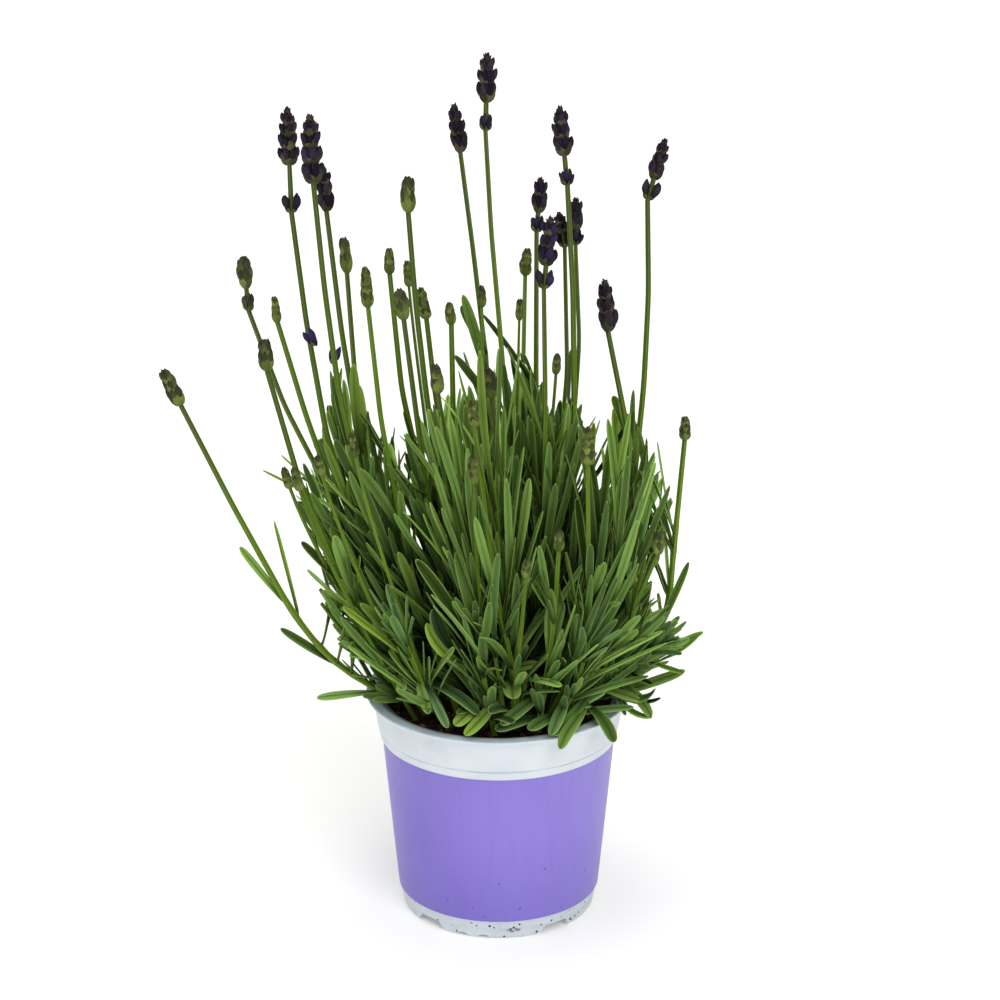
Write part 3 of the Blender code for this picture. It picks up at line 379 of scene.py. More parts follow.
def calyx_skin():
    """Tone's numbers: how light, how green (unripe), how violet."""
    finish = Finish("calyx_skin", Specular_IOR_Level=0.04)
    light, green, violet = finish.tone()
    across, along = finish.grown()
    ribs = finish.math("SINE", finish.times(across, 75.4))
    speck = finish.grain(1900.0, 3.0, 0.65)
    ripe = finish.mix(light, (10, 5, 12), (56, 49, 54))
    ripe = finish.mix(violet, ripe, (56, 42, 88))
    # Darker towards each calyx's foot: painted shade.
    ripe = finish.mix((along, 0.1, 0.7, 0.75, 0.0), ripe, (7, 2, 10))
    unripe = finish.mix(light, (66, 78, 30), (118, 134, 62))
    dull = finish.mix(light, (56, 56, 34), (92, 92, 56))
    unripe = finish.mix((along, 0.5, 1.0), unripe, dull)
    finish.base = finish.mix(green, ripe, unripe)
    finish.coat((along, 0.14, 0.0, 0.0, 0.6), 74, 88, 40)
    finish.coat((ribs, 0.5, 1.0, 0.0, 0.12), 150, 140, 170)
    finish.coat((speck, 0.5, 0.8, 0.0, 0.4), 20, 16, 24)
    raised = finish.math("ADD", finish.times(ribs, 0.5), speck)
    return finish.skin((speck, 0.3, 0.7, 0.5, 0.72), raised, 0.0003, 0.6)


def bract_skin():
    """Tone's numbers: how light, how green, and one that is not used."""
    finish = Finish("bract_skin", Specular_IOR_Level=0.04)
    light, green, _ = finish.tone()
    across, along = finish.grown()
    aside = finish.math("ABSOLUTE", finish.math("SUBTRACT", across, 0.5))
    fan = finish.math("SUBTRACT", aside, finish.times(along, 0.35))
    veins = finish.math("SINE", finish.times(fan, 62.0))
    brown = finish.mix(light, (34, 28, 27), (84, 72, 62))
    olive = finish.mix(light, (78, 94, 36), (130, 146, 74))
    tip = finish.mix(green, (40, 30, 44), (88, 80, 46))
    finish.base = finish.mix(green, brown, olive)
    finish.base = finish.mix((along, 0.55, 1.0, 0.0, 0.75), finish.base, tip)
    finish.coat((veins, 0.3, 1.0, 0.0, 0.35), 46, 40, 30)
    finish.coat((aside, 0.38, 0.5, 0.0, 0.3), 128, 118, 98)
    finish.coat((along, 0.2, 0.0, 0.0, 0.7), 92, 108, 52)
    speck = finish.grain(1700.0, 3.0, 0.6)
    raised = finish.math("ADD", finish.times(veins, 0.5), speck)
    return finish.skin((speck, 0.3, 0.7, 0.5, 0.7), raised, 0.0002, 0.6)


def studio_floor():
    finish = Finish("studio_floor", roughness=0.75)
    cloud = finish.ramp(finish.grain(1.5, 2.0), 0.3, 0.7)
    paper = finish.mix(cloud, (0.84, 0.84, 0.81, 1), (0.86, 0.86, 0.83, 1))
    finish.feed(finish.shader.inputs["Base Color"], paper)
    finish.shader.inputs["Emission Color"].default_value = (1.0, 1.0, 1.0, 1.0)
    finish.shader.inputs["Emission Strength"].default_value = 0.13
    return finish.material


# ------------------------------------------------------------------------- pot

POT_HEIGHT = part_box("pot")[1].z / MM
POT_STEPS = 192

# Radius and height, from the middle of the floor inside, over the lip, to the foot
POT_PROFILE = (
    (0.0, 6.5), (20.0, 6.5), (47.6, 6.5), (48.3, 6.9), (55.6, 88.0), (55.8, 90.0),
    (55.8, 109.2), (56.1, 110.6), (57.0, 111.5), (58.4, 112.2), (59.0, 112.6), (59.4, 112.95),
    (60.0, 113.0), (63.9, 113.0), (64.5, 112.9), (64.9, 112.55), (65.0, 112.1), (64.7, 111.6),
    (63.9, 110.9), (62.7, 109.9), (61.7, 108.6), (61.1, 107.0), (60.8, 105.0), (60.2, 100.0),
    (59.5, 96.0), (59.3, 95.0), (59.05, 94.6), (58.95, 94.2), (58.7, 92.4), (58.5, 90.8),
    (58.3, 90.3), (57.9, 90.05), (57.5, 90.0), (57.35, 89.7), (55.6, 70.6), (52.7, 39.5),
    (49.95, 10.3), (49.8, 9.95), (49.5, 9.8), (49.3, 9.5), (49.2, 8.6), (48.95, 8.3),
    (48.6, 8.1), (48.4, 5.7), (48.3, 5.35), (48.05, 5.15), (47.9, 4.9), (47.5, 0.5),
    (47.35, 0.12), (47.1, 0.0), (46.1, 0.0), (45.9, 0.2), (45.9, 0.6), (46.2, 4.1), (45.8, 4.5),
    (40.0, 4.5), (12.4, 4.5), (11.9, 4.2), (11.3, 0.4), (10.9, 0.0), (5.0, 0.0), (0.0, 0.0),
)

NOTCHES = (-45.0, 36.0, 135.0, 216.0)  # degrees from the front, seen from above
NOTCH_HEIGHT = 4.1
NOTCH_ARCS = (7.25, 10.5)  # degrees from its middle to its side, at the top and on the ground
SCALLOPS = (-22.0, -9.0, 158.0, 171.0)
SKIRT_RADIUS = 47.4
DRAIN_HOLES = 6
MOULDED_LINE = 94.4  # height of the fine line round the collar
SMEAR = (7.2, 4.4)  # the middle of a smear of soil on the foot: x and height


def on_pot(radius, angle, height):
    turn = math.radians(angle)
    return Vector((radius * math.sin(turn), -radius * math.cos(turn), height)) * MM


def spun_profile(name, profile, steps):
    """A solid turned about the pot's axis from a chain of points."""
    bpy.ops.mesh.primitive_plane_add(size=MM)
    obj = bpy.context.object
    obj.name = name
    open_mesh(obj)
    pick_all()
    bpy.ops.mesh.merge(type="CENTER")
    bpy.ops.transform.translate(value=(profile[0][0] * MM, 0, profile[0][1] * MM))
    for (r0, z0), (r1, z1) in zip(profile, profile[1:]):
        pull_out(((r1 - r0) * MM, 0, (z1 - z0) * MM))
    pick_all()
    bpy.ops.mesh.spin(steps=steps, angle=math.tau, center=(0, 0, 0), axis=(0, 0, 1))
    pick_all()
    bpy.ops.mesh.remove_doubles(threshold=0.002 * MM)
    turn_outwards()
    close_mesh()
    return obj


def notch_block(angle):
    """A wedge that opens towards the ground, to be cut from the skirt."""
    bpy.ops.mesh.primitive_cube_add(size=1.0)
    block = bpy.context.object
    open_mesh(block)
    bpy.ops.mesh.bevel(offset=0.04, segments=2, affect="EDGES")
    close_mesh()
    for vert in block.data.vertices:
        x, y, z = vert.co * 2
        height = -1.0 if z < 0 else NOTCH_HEIGHT * (1 - (1 - abs(z)) * 1.5)
        top, ground = NOTCH_ARCS
        arc = top + (ground - top) * (NOTCH_HEIGHT - height) / NOTCH_HEIGHT
        vert.co = on_pot(SKIRT_RADIUS + (6.0 if y < 0 else -6.0), angle + x * arc, height)
    return block


def scallop_roller(angle):
    """A lying cylinder that leaves a low arch in the skirt."""
    bpy.ops.mesh.primitive_cylinder_add(vertices=24, radius=1.0, depth=8 * MM)
    roller = bpy.context.object
    roller.data.transform(Matrix.Diagonal((3.1 * MM, 1.5 * MM, 1.0, 1.0)))
    outward = on_pot(1.0, angle, 0.0).normalized()
    sideways = Vector((0, 0, 1)).cross(outward)
    turn = Matrix((sideways, Vector((0, 0, 1)), outward)).transposed().to_4x4()
    roller.data.transform(Matrix.Translation(on_pot(47.0, angle, 0.0)) @ turn)
    return roller


def drain_punch(index):
    place = on_pot(30.0, 19.0 + 360.0 * index / DRAIN_HOLES, 5.5)
    bpy.ops.mesh.primitive_cylinder_add(vertices=32, radius=4 * MM, depth=8 * MM)
    bpy.context.object.data.transform(Matrix.Translation(place))
    return bpy.context.object


def make_pot():
    pot = spun_profile("nursery_pot", POT_PROFILE, POT_STEPS)
    cutters = [notch_block(angle) for angle in NOTCHES]
    cutters += [scallop_roller(angle) for angle in SCALLOPS]
    cutters += [drain_punch(index) for index in range(DRAIN_HOLES)]
    bpy.ops.object.select_all(action="DESELECT")
    for cutter in cutters:
        cutter.select_set(True)
    bpy.context.view_layer.objects.active = cutters[0]
    bpy.ops.object.join()
    cutter = bpy.context.object
    open_mesh(cutter)
    turn_outwards()
    close_mesh()
    apply_modifier(pot, "BOOLEAN", operation="DIFFERENCE", solver="EXACT", object=cutter)
    throw_away(cutter)
    for made in (bare_plastic(), printed_band(), lip_plastic()):
        pot.data.materials.append(made)
    for face in pot.data.polygons:
        x, y, z = face.center / MM
        radius = math.hypot(x, y)
        outwards = face.normal.dot(Vector((x, y, 0)).normalized()) if radius > 1 else 0
        if outwards > 0.3 and 9.9 < z < 89.8 and radius > 49:
            face.material_index = 1
        elif radius < 64.7 and z > 80 and (face.normal.z > 0.3 or outwards < -0.3):
            face.material_index = 2
    take_up(pot)
    bpy.ops.object.shade_smooth_by_angle(angle=math.radians(42))
    return pot


# ------------------------------------------------------------------------ soil

SOIL_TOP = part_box("soil")[1].z
SOIL_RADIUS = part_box("soil")[1].x
SOIL_RINGS = 46
SOIL_SIDES = ((2 * MM, 1.0), (18 * MM, 1.0), (80.3 * MM, 0.867))  # each drop, and how it narrows
# Lumps of the soil's top: kind, size and height in millimetres
SOIL_LUMPS = (("CLOUDS", 12, 2.4), ("VORONOI", 3.6, 1.6), ("CLOUDS", 2, 0.9))


def soft_texture(kind, size):
    made = bpy.data.textures.new(kind.lower(), type=kind)
    made.noise_scale = size
    return made


def make_soil():
    """The root ball: a rough top, and sides that follow the pot down to its floor."""
    bpy.ops.mesh.primitive_circle_add(vertices=176, radius=SOIL_RADIUS, location=(0, 0, SOIL_TOP))
    soil = bpy.context.object
    soil.name = "root_ball"
    bpy.ops.object.transform_apply(location=True, rotation=False, scale=False)
    open_mesh(soil, "EDGE")
    pick_all()
    for ring in range(1, SOIL_RINGS):
        pull_out((0, 0, 0))
        share = 1 - ring / SOIL_RINGS
        before = 1 - (ring - 1) / SOIL_RINGS
        resize(share / before, share / before, 1, (0, 0, SOIL_TOP))
    bpy.ops.mesh.merge(type="CENTER")
    bpy.ops.mesh.select_mode(type="EDGE")
    pick(lambda edge: edge.is_boundary, "edges")
    for drop, share in SOIL_SIDES:
        pull_out((0, 0, -drop))
        resize(share, share, 1)
    bpy.ops.mesh.fill()
    turn_outwards()
    close_mesh()
    top = soil.vertex_groups.new(name="top")
    inside = SOIL_RADIUS - 1.0 * MM
    for vert in soil.data.vertices:
        radius = math.hypot(vert.co.x, vert.co.y)
        if vert.co.z > SOIL_TOP - MM:
            top.add([vert.index], min(1.0, max(0.0, (inside - radius) / (3 * MM))), "REPLACE")
    for kind, size, strength in SOIL_LUMPS:
        apply_modifier(
            soil,
            "DISPLACE",
            texture=soft_texture(kind, size * MM),
            texture_coords="LOCAL",
            direction="Z",
            vertex_group="top",
            mid_level=0.6,
            strength=strength * MM,
        )
    soil.data.materials.append(damp_soil())
    soil.data.shade_smooth()
    return soil


# ----------------------------------------------------- forms that are laid out


class Form:
    """A shape modelled once along +Y, from 0 to 1, to be bent along many paths."""

    def __init__(self, obj, widths, underside):
        mesh = obj.data
        self.places = np.array([vert.co for vert in mesh.vertices])
        self.faces = [tuple(face.vertices) for face in mesh.polygons]
        heights = [row[0] for row in widths]
        spans = [max(row[1], 0.05) for row in widths]
        grown = []
        for face in mesh.polygons:
            below = underside and face.normal.z < -0.05
            for index in face.vertices:
                x, y, _ = self.places[index]
                across = x / np.interp(y, heights, spans) + 0.5
                grown.append((across + (2.0 if below else 0.0), y))
        self.grown = grown
        throw_away(obj)


def drawn_out(name, corners, rows, underside=True):
    """Extrude a ring of corners row by row along +Y and close it to a point.

    Each row is its place along the form, its width and its thickness.
    """
    bpy.ops.mesh.primitive_circle_add(vertices=len(corners), radius=0.5, fill_type="NGON")
    obj = bpy.context.object
    obj.name = name
    open_mesh(obj)
    bm = bmesh.from_edit_mesh(obj.data)
    bm.verts.ensure_lookup_table()
    starts = [vert.co.copy() for vert in bm.verts]
    for (x, z), start in zip(corners, starts):
        pick(lambda vert: (vert.co - start).length < 1e-5)
        bpy.ops.transform.translate(value=(x - start.x, -start.y, z))
    pick_all()
    here, wide, thick = rows[0]
    resize(wide, 1, thick)
    for there, wider, thicker in rows[1:]:
        pull_out((0, there - here, 0))
        resize(wider / wide, 1, thicker / thick, (0, there, 0))
        here, wide, thick = there, wider, thicker
    pull_out((0, 1 - here, 0))
    bpy.ops.mesh.merge(type="CENTER")
    turn_outwards()
    close_mesh()
    return Form(obj, rows + ((1.0, rows[-1][1], rows[-1][2]),), underside)


def ring_of(sides, rib=0.0):
    turns = [math.tau * side / sides for side in range(sides)]
    sizes = [0.5 * (1 - rib * (side % 2)) for side in range(sides)]
    return tuple((math.cos(turn) * size, math.sin(turn) * size) for turn, size in zip(turns, sizes))


# Leaf blade: right edge, right fold, midrib groove, left fold, left edge, keel
BLADE = ((0.5, -0.2), (0.27, 0.5), (0.0, 0.0), (-0.27, 0.5), (-0.5, -0.2), (0.0, -0.62))
LEAF_ROWS = (
    (0.0, 0.50, 1.3), (0.08, 0.54, 1.1), (0.2, 0.68, 1.0), (0.36, 0.86, 1.0), (0.52, 0.97, 1.0),
    (0.68, 1.0, 1.0), (0.81, 0.94, 0.95), (0.90, 0.80, 0.85), (0.955, 0.58, 0.7),
    (0.988, 0.30, 0.5),
)
SMALL_LEAF_ROWS = (
    (0.0, 0.5, 1.2), (0.2, 0.7, 1.0), (0.5, 0.98, 1.0), (0.8, 0.94, 0.9), (0.93, 0.72, 0.8),
    (0.985, 0.34, 0.6),
)
CRUMB_ROWS = ((0.0, 0.5, 0.6), (0.35, 1.0, 0.8), (0.75, 0.8, 1.0))
BRACT = ((0.5, -0.3), (0.26, 0.1), (0.0, 0.22), (-0.26, 0.1), (-0.5, -0.3), (0.0, 0.06))
BRACT_ROWS = (
    (0.0, 0.3, 0.3), (0.14, 0.72, 0.8), (0.34, 1.0, 1.0), (0.56, 0.86, 0.9), (0.78, 0.48, 0.5),
    (0.92, 0.2, 0.2),
)
CALYX_ROWS = (
    (0.0, 0.28, 0.28), (0.1, 0.48, 0.48), (0.26, 0.74, 0.74), (0.46, 0.96, 0.96),
    (0.62, 1.0, 1.0), (0.78, 0.80, 0.80), (0.91, 0.42, 0.42),
)


class Growth:
    """Bent copies of forms, gathered into one piece."""

    def __init__(self, name):
        self.name = name
        self.places = []
        self.faces = []
        self.slots = []
        self.grown = []
        self.tones = []
        self.count = 0

    def add_mesh(self, places, faces, grown, tones, slot):
        self.places.append(places)
        self.faces += [tuple(index + self.count for index in face) for face in faces]
        self.slots += [slot] * len(faces)
        self.grown += grown
        self.tones.append(tones)
        self.count += len(places)

    def add(self, form, places, tone, slot):
        tones = np.tile(np.array((*tone, 1.0)), (len(places), 1))
        self.add_mesh(places, form.faces, form.grown, tones, slot)

    def finish(self, materials, angle=50):
        mesh = bpy.data.meshes.new(self.name)
        mesh.from_pydata(np.concatenate(self.places).tolist(), [], self.faces)
        for made in materials:
            mesh.materials.append(made)
        mesh.polygons.foreach_set("material_index", self.slots)
        layer = mesh.uv_layers.new(name="grown")
        layer.data.foreach_set("uv", np.array(self.grown, np.float32).ravel())
        tones = mesh.attributes.new("tone", "FLOAT_COLOR", "POINT")
        tones.data.foreach_set("color", np.concatenate(self.tones).astype(np.float32).ravel())
        obj = bpy.data.objects.new(self.name, mesh)
        bpy.context.scene.collection.objects.link(obj)
        take_up(obj)
        bpy.ops.object.shade_smooth_by_angle(angle=math.radians(angle))
        return obj


def unit(vectors):
    return vectors / np.maximum(np.linalg.norm(vectors, axis=-1, keepdims=True), 1e-12)


def lengths_along(points):
    """How far along the chain of points each of them lies."""
    return np.concatenate([[0.0], np.cumsum(np.linalg.norm(np.diff(points, axis=0), axis=1))])


def between_marks(where, marks, values):
    """The rows of values, which belong to marks, read off at where."""
    return np.stack([np.interp(where, marks, values[:, axis]) for axis in range(3)], axis=-1)


def smooth_path(marks, points, degree, steps):
    """A smooth line near points that lie at marks, from 0 to 1."""
    curve = np.polyfit(marks, points, degree)
    shares = np.linspace(0.0, 1.0, steps)
    return np.stack([np.polyval(curve[:, axis], shares) for axis in range(3)], axis=1)


def across_from(axis, reference):
    """Two ways at right angles to the axis and to each other."""
    level = unit(np.cross(axis, reference))
    return level, np.cross(axis, level)


def turned(ways, angle):
    """From the first way towards the second."""
    return ways[0] * math.cos(angle) + ways[1] * math.sin(angle)


def lay(form, path, across, width, thickness, twist=0.0):
    """The form's places, bent along the path with its breadth along across."""
    along = unit(np.gradient(path, axis=0))
    side = unit(across - along * np.sum(across * along, axis=1, keepdims=True))
    up = np.cross(side, along)
    turns = np.linspace(0.0, twist, len(path))[:, None]
    side, up = side * np.cos(turns) + up * np.sin(turns), up * np.cos(turns) - side * np.sin(turns)
    steps = np.linspace(0.0, 1.0, len(path))
    line, side, up = (between_marks(form.places[:, 1], steps, rows) for rows in (path, side, up))
    return line + side * form.places[:, [0]] * width + up * form.places[:, [2]] * thickness


def bowed(start, first, last, length, steps):
    """Points of a path that leaves start along first and ends along last."""
    shares = (np.arange(steps) + 0.5)[:, None] / steps
    ways = unit(unit(np.array(first)) * (1 - shares) + unit(np.array(last)) * shares)
    moves = np.concatenate([np.zeros((1, 3)), np.cumsum(ways, axis=0)])
    return np.array(start) + moves * length / steps


# -------------------------------------------- what the frame says of each shoot


def around(verts):
    return {edge.other_vert(vert) for vert in verts for edge in vert.link_edges} - set(verts)


def middle(verts):
    return np.array(sum((vert.co for vert in verts), Vector()) / len(verts))


def breadth(verts):
    """(unit vector across a thin ring, its width)."""
    places = np.array([vert.co for vert in verts])
    offsets = places - places.mean(axis=0)
    across = np.linalg.svd(offsets)[2][0]
    reach = offsets @ across
    return across, reach.max() - reach.min()


def is_flat(verts):
    places = np.array([vert.co for vert in verts])
    spread = np.linalg.svd(places - places.mean(axis=0))[1]
    return spread[1] < 0.6 * spread[0]


class Shoot:
    """A stem's centre line, its nodes, its leaves and its bud, read from the frame."""

    LEAF_SHARES = (0.0, 0.34, 0.74, 1.0)  # where a leaf's rings lie along it
    LEAF_POINT = 3.1 * MM  # every edge at a leaf's tip is longer, at a bud's shorter

    def __init__(self, name):
        self.name = name
        bm = bmesh.new()
        bm.from_mesh(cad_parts[name].data)
        bmesh.ops.remove_doubles(bm, verts=bm.verts, dist=0.001 * MM)
        tips = [vert for vert in bm.verts if len(vert.link_edges) == 4]
        shortest = {tip: min(edge.calc_length() for edge in tip.link_edges) for tip in tips}
        tips = [tip for tip in tips if shortest[tip] > Shoot.LEAF_POINT]
        seen = set()
        leaves = []
        for tip in tips:
            upper = around({tip})
            lower = around(upper) - {tip}
            if len(lower) != 4 or len(around(lower) - upper) != 4 or not is_flat(upper):
                continue
            leaves.append((around(lower) - upper, lower, upper, tip))
            seen |= {tip} | upper | lower
        foot = {vert for vert in bm.verts if abs(vert.co.z - SOIL_TOP) < 0.5 * MM}
        rings = [foot]
        seen |= foot
        while around(rings[-1]) - seen:
            rings.append(around(rings[-1]) - seen)
            seen |= rings[-1]
        self.bud = None
        if len(rings[-1]) == 1:  # a bud: its neck, three rings and its tip
            self.bud = (middle(rings[-5]), middle(rings[-1]), breadth(rings[-3])[1])
            rings = rings[:-4]
        self.spine = np.array([middle(ring) for ring in rings])
        self.lengths = lengths_along(self.spine)
        self.length = self.lengths[-1]
        self.leaves = []
        self.nodes = {}
        for base, lower, upper, tip in leaves:
            level = min(index for index, ring in enumerate(rings) if ring & base)
            knots = np.array([middle(base), middle(lower), middle(upper), np.array(tip.co)])
            across = [breadth(lower)[0], breadth(upper)[0]]
            if across[0] @ across[1] < 0:
                across[1] = -across[1]
            self.leaves.append((level, knots, across, breadth(upper)[1]))
            self.nodes.setdefault(level, []).append(knots)
        bm.free()

    def at(self, distance):
        return between_marks(distance, self.lengths, self.spine)

    def heading(self, distance):
        ahead = self.at(min(distance + 2 * MM, self.length))
        return unit(ahead - self.at(max(distance - 2 * MM, 0.0)))


def make_stalk_outline():
    """A four-angled outline, each side a little hollow."""
    bpy.ops.curve.primitive_bezier_circle_add(radius=1.0)
    section = bpy.context.object
    section.name = "stalk_section"
    section.data.dimensions = "2D"
    section.data.splines.clear()
    line = section.data.splines.new("POLY")
    line.use_cyclic_u = True
    line.points.add(7)
    for index, point in enumerate(line.points):
        turn = math.tau * index / 8
        size = 1.2 if index % 2 == 0 else 0.86
        point.co = (math.cos(turn) * size, math.sin(turn) * size, 0, 1)
    return section


def sweep_stalk(growth, points, radii, upwards, luck, slot):
    """Sweep the stalk's outline along points, thick as radii say."""
    bpy.ops.object.select_all(action="DESELECT")
    bpy.ops.curve.primitive_nurbs_path_add()
    stalk = bpy.context.object
    stalk.data.splines.clear()
    line = stalk.data.splines.new("POLY")
    line.points.add(len(points) - 1)
    for point, place, radius in zip(line.points, points, radii):
        point.co = (*place, 1)
        point.radius = radius
    stalk.data.bevel_mode = "OBJECT"
    stalk.data.bevel_object = stalk_outline
    stalk.data.use_fill_caps = True
    bpy.ops.object.convert(target="MESH")
    mesh = bpy.context.object.data
    bm = bmesh.new()
    bm.from_mesh(mesh)
    bmesh.ops.remove_doubles(bm, verts=bm.verts, dist=0.001 * MM)
    bmesh.ops.recalc_face_normals(bm, faces=bm.faces)
    bm.verts.index_update()
    places = np.array([vert.co for vert in bm.verts])
    faces = [tuple(vert.index for vert in face.verts) for face in bm.faces]
    bm.free()
    throw_away(bpy.context.object)
    gaps = np.linalg.norm(places[:, None, :] - np.array(points)[None, :, :], axis=2)
    nearest = gaps.argmin(axis=1)
    ridge = np.clip(gaps.min(axis=1) / np.array(radii)[nearest] * 3 - 2.6, 0, 1)
    ones = np.ones(len(places))
    tones = np.stack([ridge, np.array(upwards)[nearest], ones * luck, ones], axis=1)
    grown = [(0.5, 0.5) for face in faces for _ in face]
    growth.add_mesh(places, faces, grown, tones, slot)


# ------------------------------------------------------------ leaves on a shoot


FELT_STARTS = 185 * MM  # below this height leaves turn grey, more and more
FELT_SPAN = 70 * MM
LOW_LEAF = 140 * MM  # a leaf whose tip is lower shows its upper side to the front
FACING = (0.0, -0.55, 0.83)
LEAF_LEVEL = (0.3, 1.0, 0.2)


def leaf_tone(height, yellow_luck=0.12):
    """Low leaves are grey and felted, high ones green, and a few are yellow-green."""
    light = dice.random() ** 1.8
    yellow = dice.uniform(0.35, 0.8) if dice.random() < yellow_luck else dice.uniform(0.0, 0.15)
    low = min(max((FELT_STARTS - height) / FELT_SPAN, 0.0), 1.0)
    grey = low * dice.uniform(0.2, 0.75)
    return light, yellow, grey


def set_leaf(growth, form, path, across, outward, heading, width, thickness, tone):
    """Lay a leaf with its upper side towards the stem."""
    along = unit(path[1] - path[0])
    side = unit(across[0] - along * (across[0] @ along))
    if np.cross(side, along) @ (heading - outward) < 0:
        across = -across
    twist = math.radians(dice.uniform(-32, 32))
    growth.add(form, lay(form, path, across, width, thickness, twist), tone, 0)


def grow_frame_leaves(growth, shoot):
    for level, knots, (lower, upper), width in shoot.leaves:
        base, ring, _, tip = knots
        heading = shoot.heading(shoot.lengths[level])
        path = smooth_path(Shoot.LEAF_SHARES, knots, 3, 18)
        outward = unit(ring - base - heading * ((ring - base) @ heading))
        path[0] -= outward * 0.6 * MM
        blend = np.clip((np.linspace(0.0, 1.0, len(path)) - 0.34) / 0.4, 0, 1)[:, None]
        across = lower * (1 - blend) + upper * blend
        if tip[2] < LOW_LEAF:
            across = np.tile(np.cross(unit(tip - base), FACING), (len(path), 1))
        tone = leaf_tone(tip[2])
        width *= 0.9 if tip[2] < 150 * MM else 0.8
        set_leaf(growth, long_leaf, path, across, outward, heading, width, 0.95 * MM, tone)


# Outline of the leafy growth from the front: how high it reaches across the plant,
# and how far it spreads to each side at each height
LEAFY_TOP = (
    (-112, 200), (-101, 226), (-91, 240), (-82, 270), (-78, 286), (-70, 280), (-64, 264),
    (-58, 252), (-40, 262), (-24, 268), (-17, 284), (-13, 306), (-8, 290), (0, 294), (8, 292),
    (16, 280), (24, 266), (38, 266), (50, 258), (62, 264), (70, 250), (82, 228), (88, 216),
    (96, 165), (101, 141),
)
LEAFY_SIDES = (
    (86, -64, 60), (98, -67, 60), (106, -68, 76), (122, -76, 76), (132, -79, 92),
    (141, -80, 99), (150, -85, 92), (162, -88, 80), (178, -88, 70), (190, -91, 80),
    (205, -97, 85), (220, -101, 84), (235, -92, 76), (250, -84, 70), (300, -78, 40),
)
REACH = 8 * MM  # how far a leaf may stand out of the frame's box, to either side or in depth
RIM_ZONE = (53.5 * MM, 67 * MM)  # over these radii a leaf stays clear of the rim
BESIDE_POT = 66 * MM
HANG = 14  # mm below the rim's top, as low as a leaf may hang beside the pot
CLEARANCE = 2  # mm from a leaf to the rim or the soil


def within_outline(place, margin=0.0):
    share = -CAMERA_PLACE.y / (place[1] - CAMERA_PLACE.y)
    across = place[0] * share / MM
    height = (CAMERA_PLACE.z + (place[2] - CAMERA_PLACE.z) * share) / MM
    heights, left, right = zip(*LEAFY_SIDES)
    if not np.interp(height, heights, left) < across < np.interp(height, heights, right):
        return False
    return height + margin < np.interp(across, *zip(*LEAFY_TOP))


def has_room(path):
    """False if a leaf would leave the plant's outline, or cut the soil or the pot."""
    low, high = frame_box
    for axis in (0, 1):
        if path[:, axis].min() < low[axis] - REACH or path[:, axis].max() > high[axis] + REACH:
            return False
    radii, heights = np.hypot(path[:, 0], path[:, 1]), path[:, 2]
    over_rim = (radii > RIM_ZONE[0]) & (radii < RIM_ZONE[1])
    cuts = over_rim & (heights < (POT_HEIGHT + CLEARANCE) * MM)
    cuts |= (radii > BESIDE_POT) & (heights < (POT_HEIGHT - HANG) * MM)
    if cuts.any() or heights[2:].min() <= SOIL_TOP + CLEARANCE * MM:
        return False
    return within_outline(path[-1])


def grow_blade(growth, shoot, form, distance, turn, length, width, splay, arch, tone):
    """One leaf from the stalk's side; True if there was room for it."""
    heading = shoot.heading(distance)
    outward = turned(across_from(heading, LEAF_LEVEL), turn)
    first = turned((heading, outward), splay)
    last = first + outward * arch + np.array((0, 0, dice.uniform(0.0, 0.25)))
    path = bowed(shoot.at(distance) + outward * 0.5 * MM, first, last, length, 10)
    if not has_room(path):
        return False
    across = np.tile(np.cross(heading, outward), (len(path), 1))
    set_leaf(growth, form, path, across, outward, heading, width, 0.8 * MM, tone)
    return True


def grow_tuft(growth, shoot, distance, faces, count, size, silver=0.0):
    """Short young leaves that crowd a leaf's axil."""
    for _ in range(count):
        turn = dice.choice(faces) + dice.uniform(-0.7, 0.7)
        length = size * dice.uniform(0.6, 1.3) * MM
        width = min(length * 0.16, 4.0 * MM) * dice.uniform(0.85, 1.2)
        splay = math.radians(dice.uniform(8, 36))
        light, yellow, grey = leaf_tone(shoot.at(distance)[2], 0.15)
        tone = (light * 0.8, yellow, max(grey, silver))
        at = distance + dice.uniform(0.0, 3.0) * MM
        arch = dice.uniform(-0.15, 0.35)
        grow_blade(growth, shoot, small_leaf, at, turn, length, width, splay, arch, tone)


def grow_tufts(growth, shoot):
    low = shoot.name.startswith("leafy")
    for level, knots in shoot.nodes.items():
        distance = shoot.lengths[level] + 2 * MM
        level_way, other = across_from(shoot.heading(distance), LEAF_LEVEL)
        outwards = [lower - base for base, lower, _, _ in knots]
        faces = [math.atan2(outward @ other, outward @ level_way) for outward in outwards]
        height = shoot.at(distance)[2] / MM
        count = 5 if low or height < 175 else 2
        grow_tuft(growth, shoot, distance, faces, count, 26 if height < 200 else 17)
    if low:
        faces = [math.tau * turn / 7 for turn in range(7)]
        grow_tuft(growth, shoot, shoot.length - 3 * MM, faces, 9, 26, 0.75)
        grow_tuft(growth, shoot, shoot.length - 1 * MM, faces, 9, 15, 0.9)


class Between(Shoot):
    """A leafy shoot that fills the gap between two of the frame's."""

    def __init__(self, first, second, share, drop):
        marks = np.linspace(0.0, min(first.length, second.length), 30)
        spine = np.array([first.at(mark) * (1 - share) + second.at(mark) * share for mark in marks])
        keep = [index for index, place in enumerate(spine) if within_outline(place, drop)]
        self.spine = spine[: max(len(keep), 4)]
        self.lengths = lengths_along(self.spine)
        self.length = self.lengths[-1]


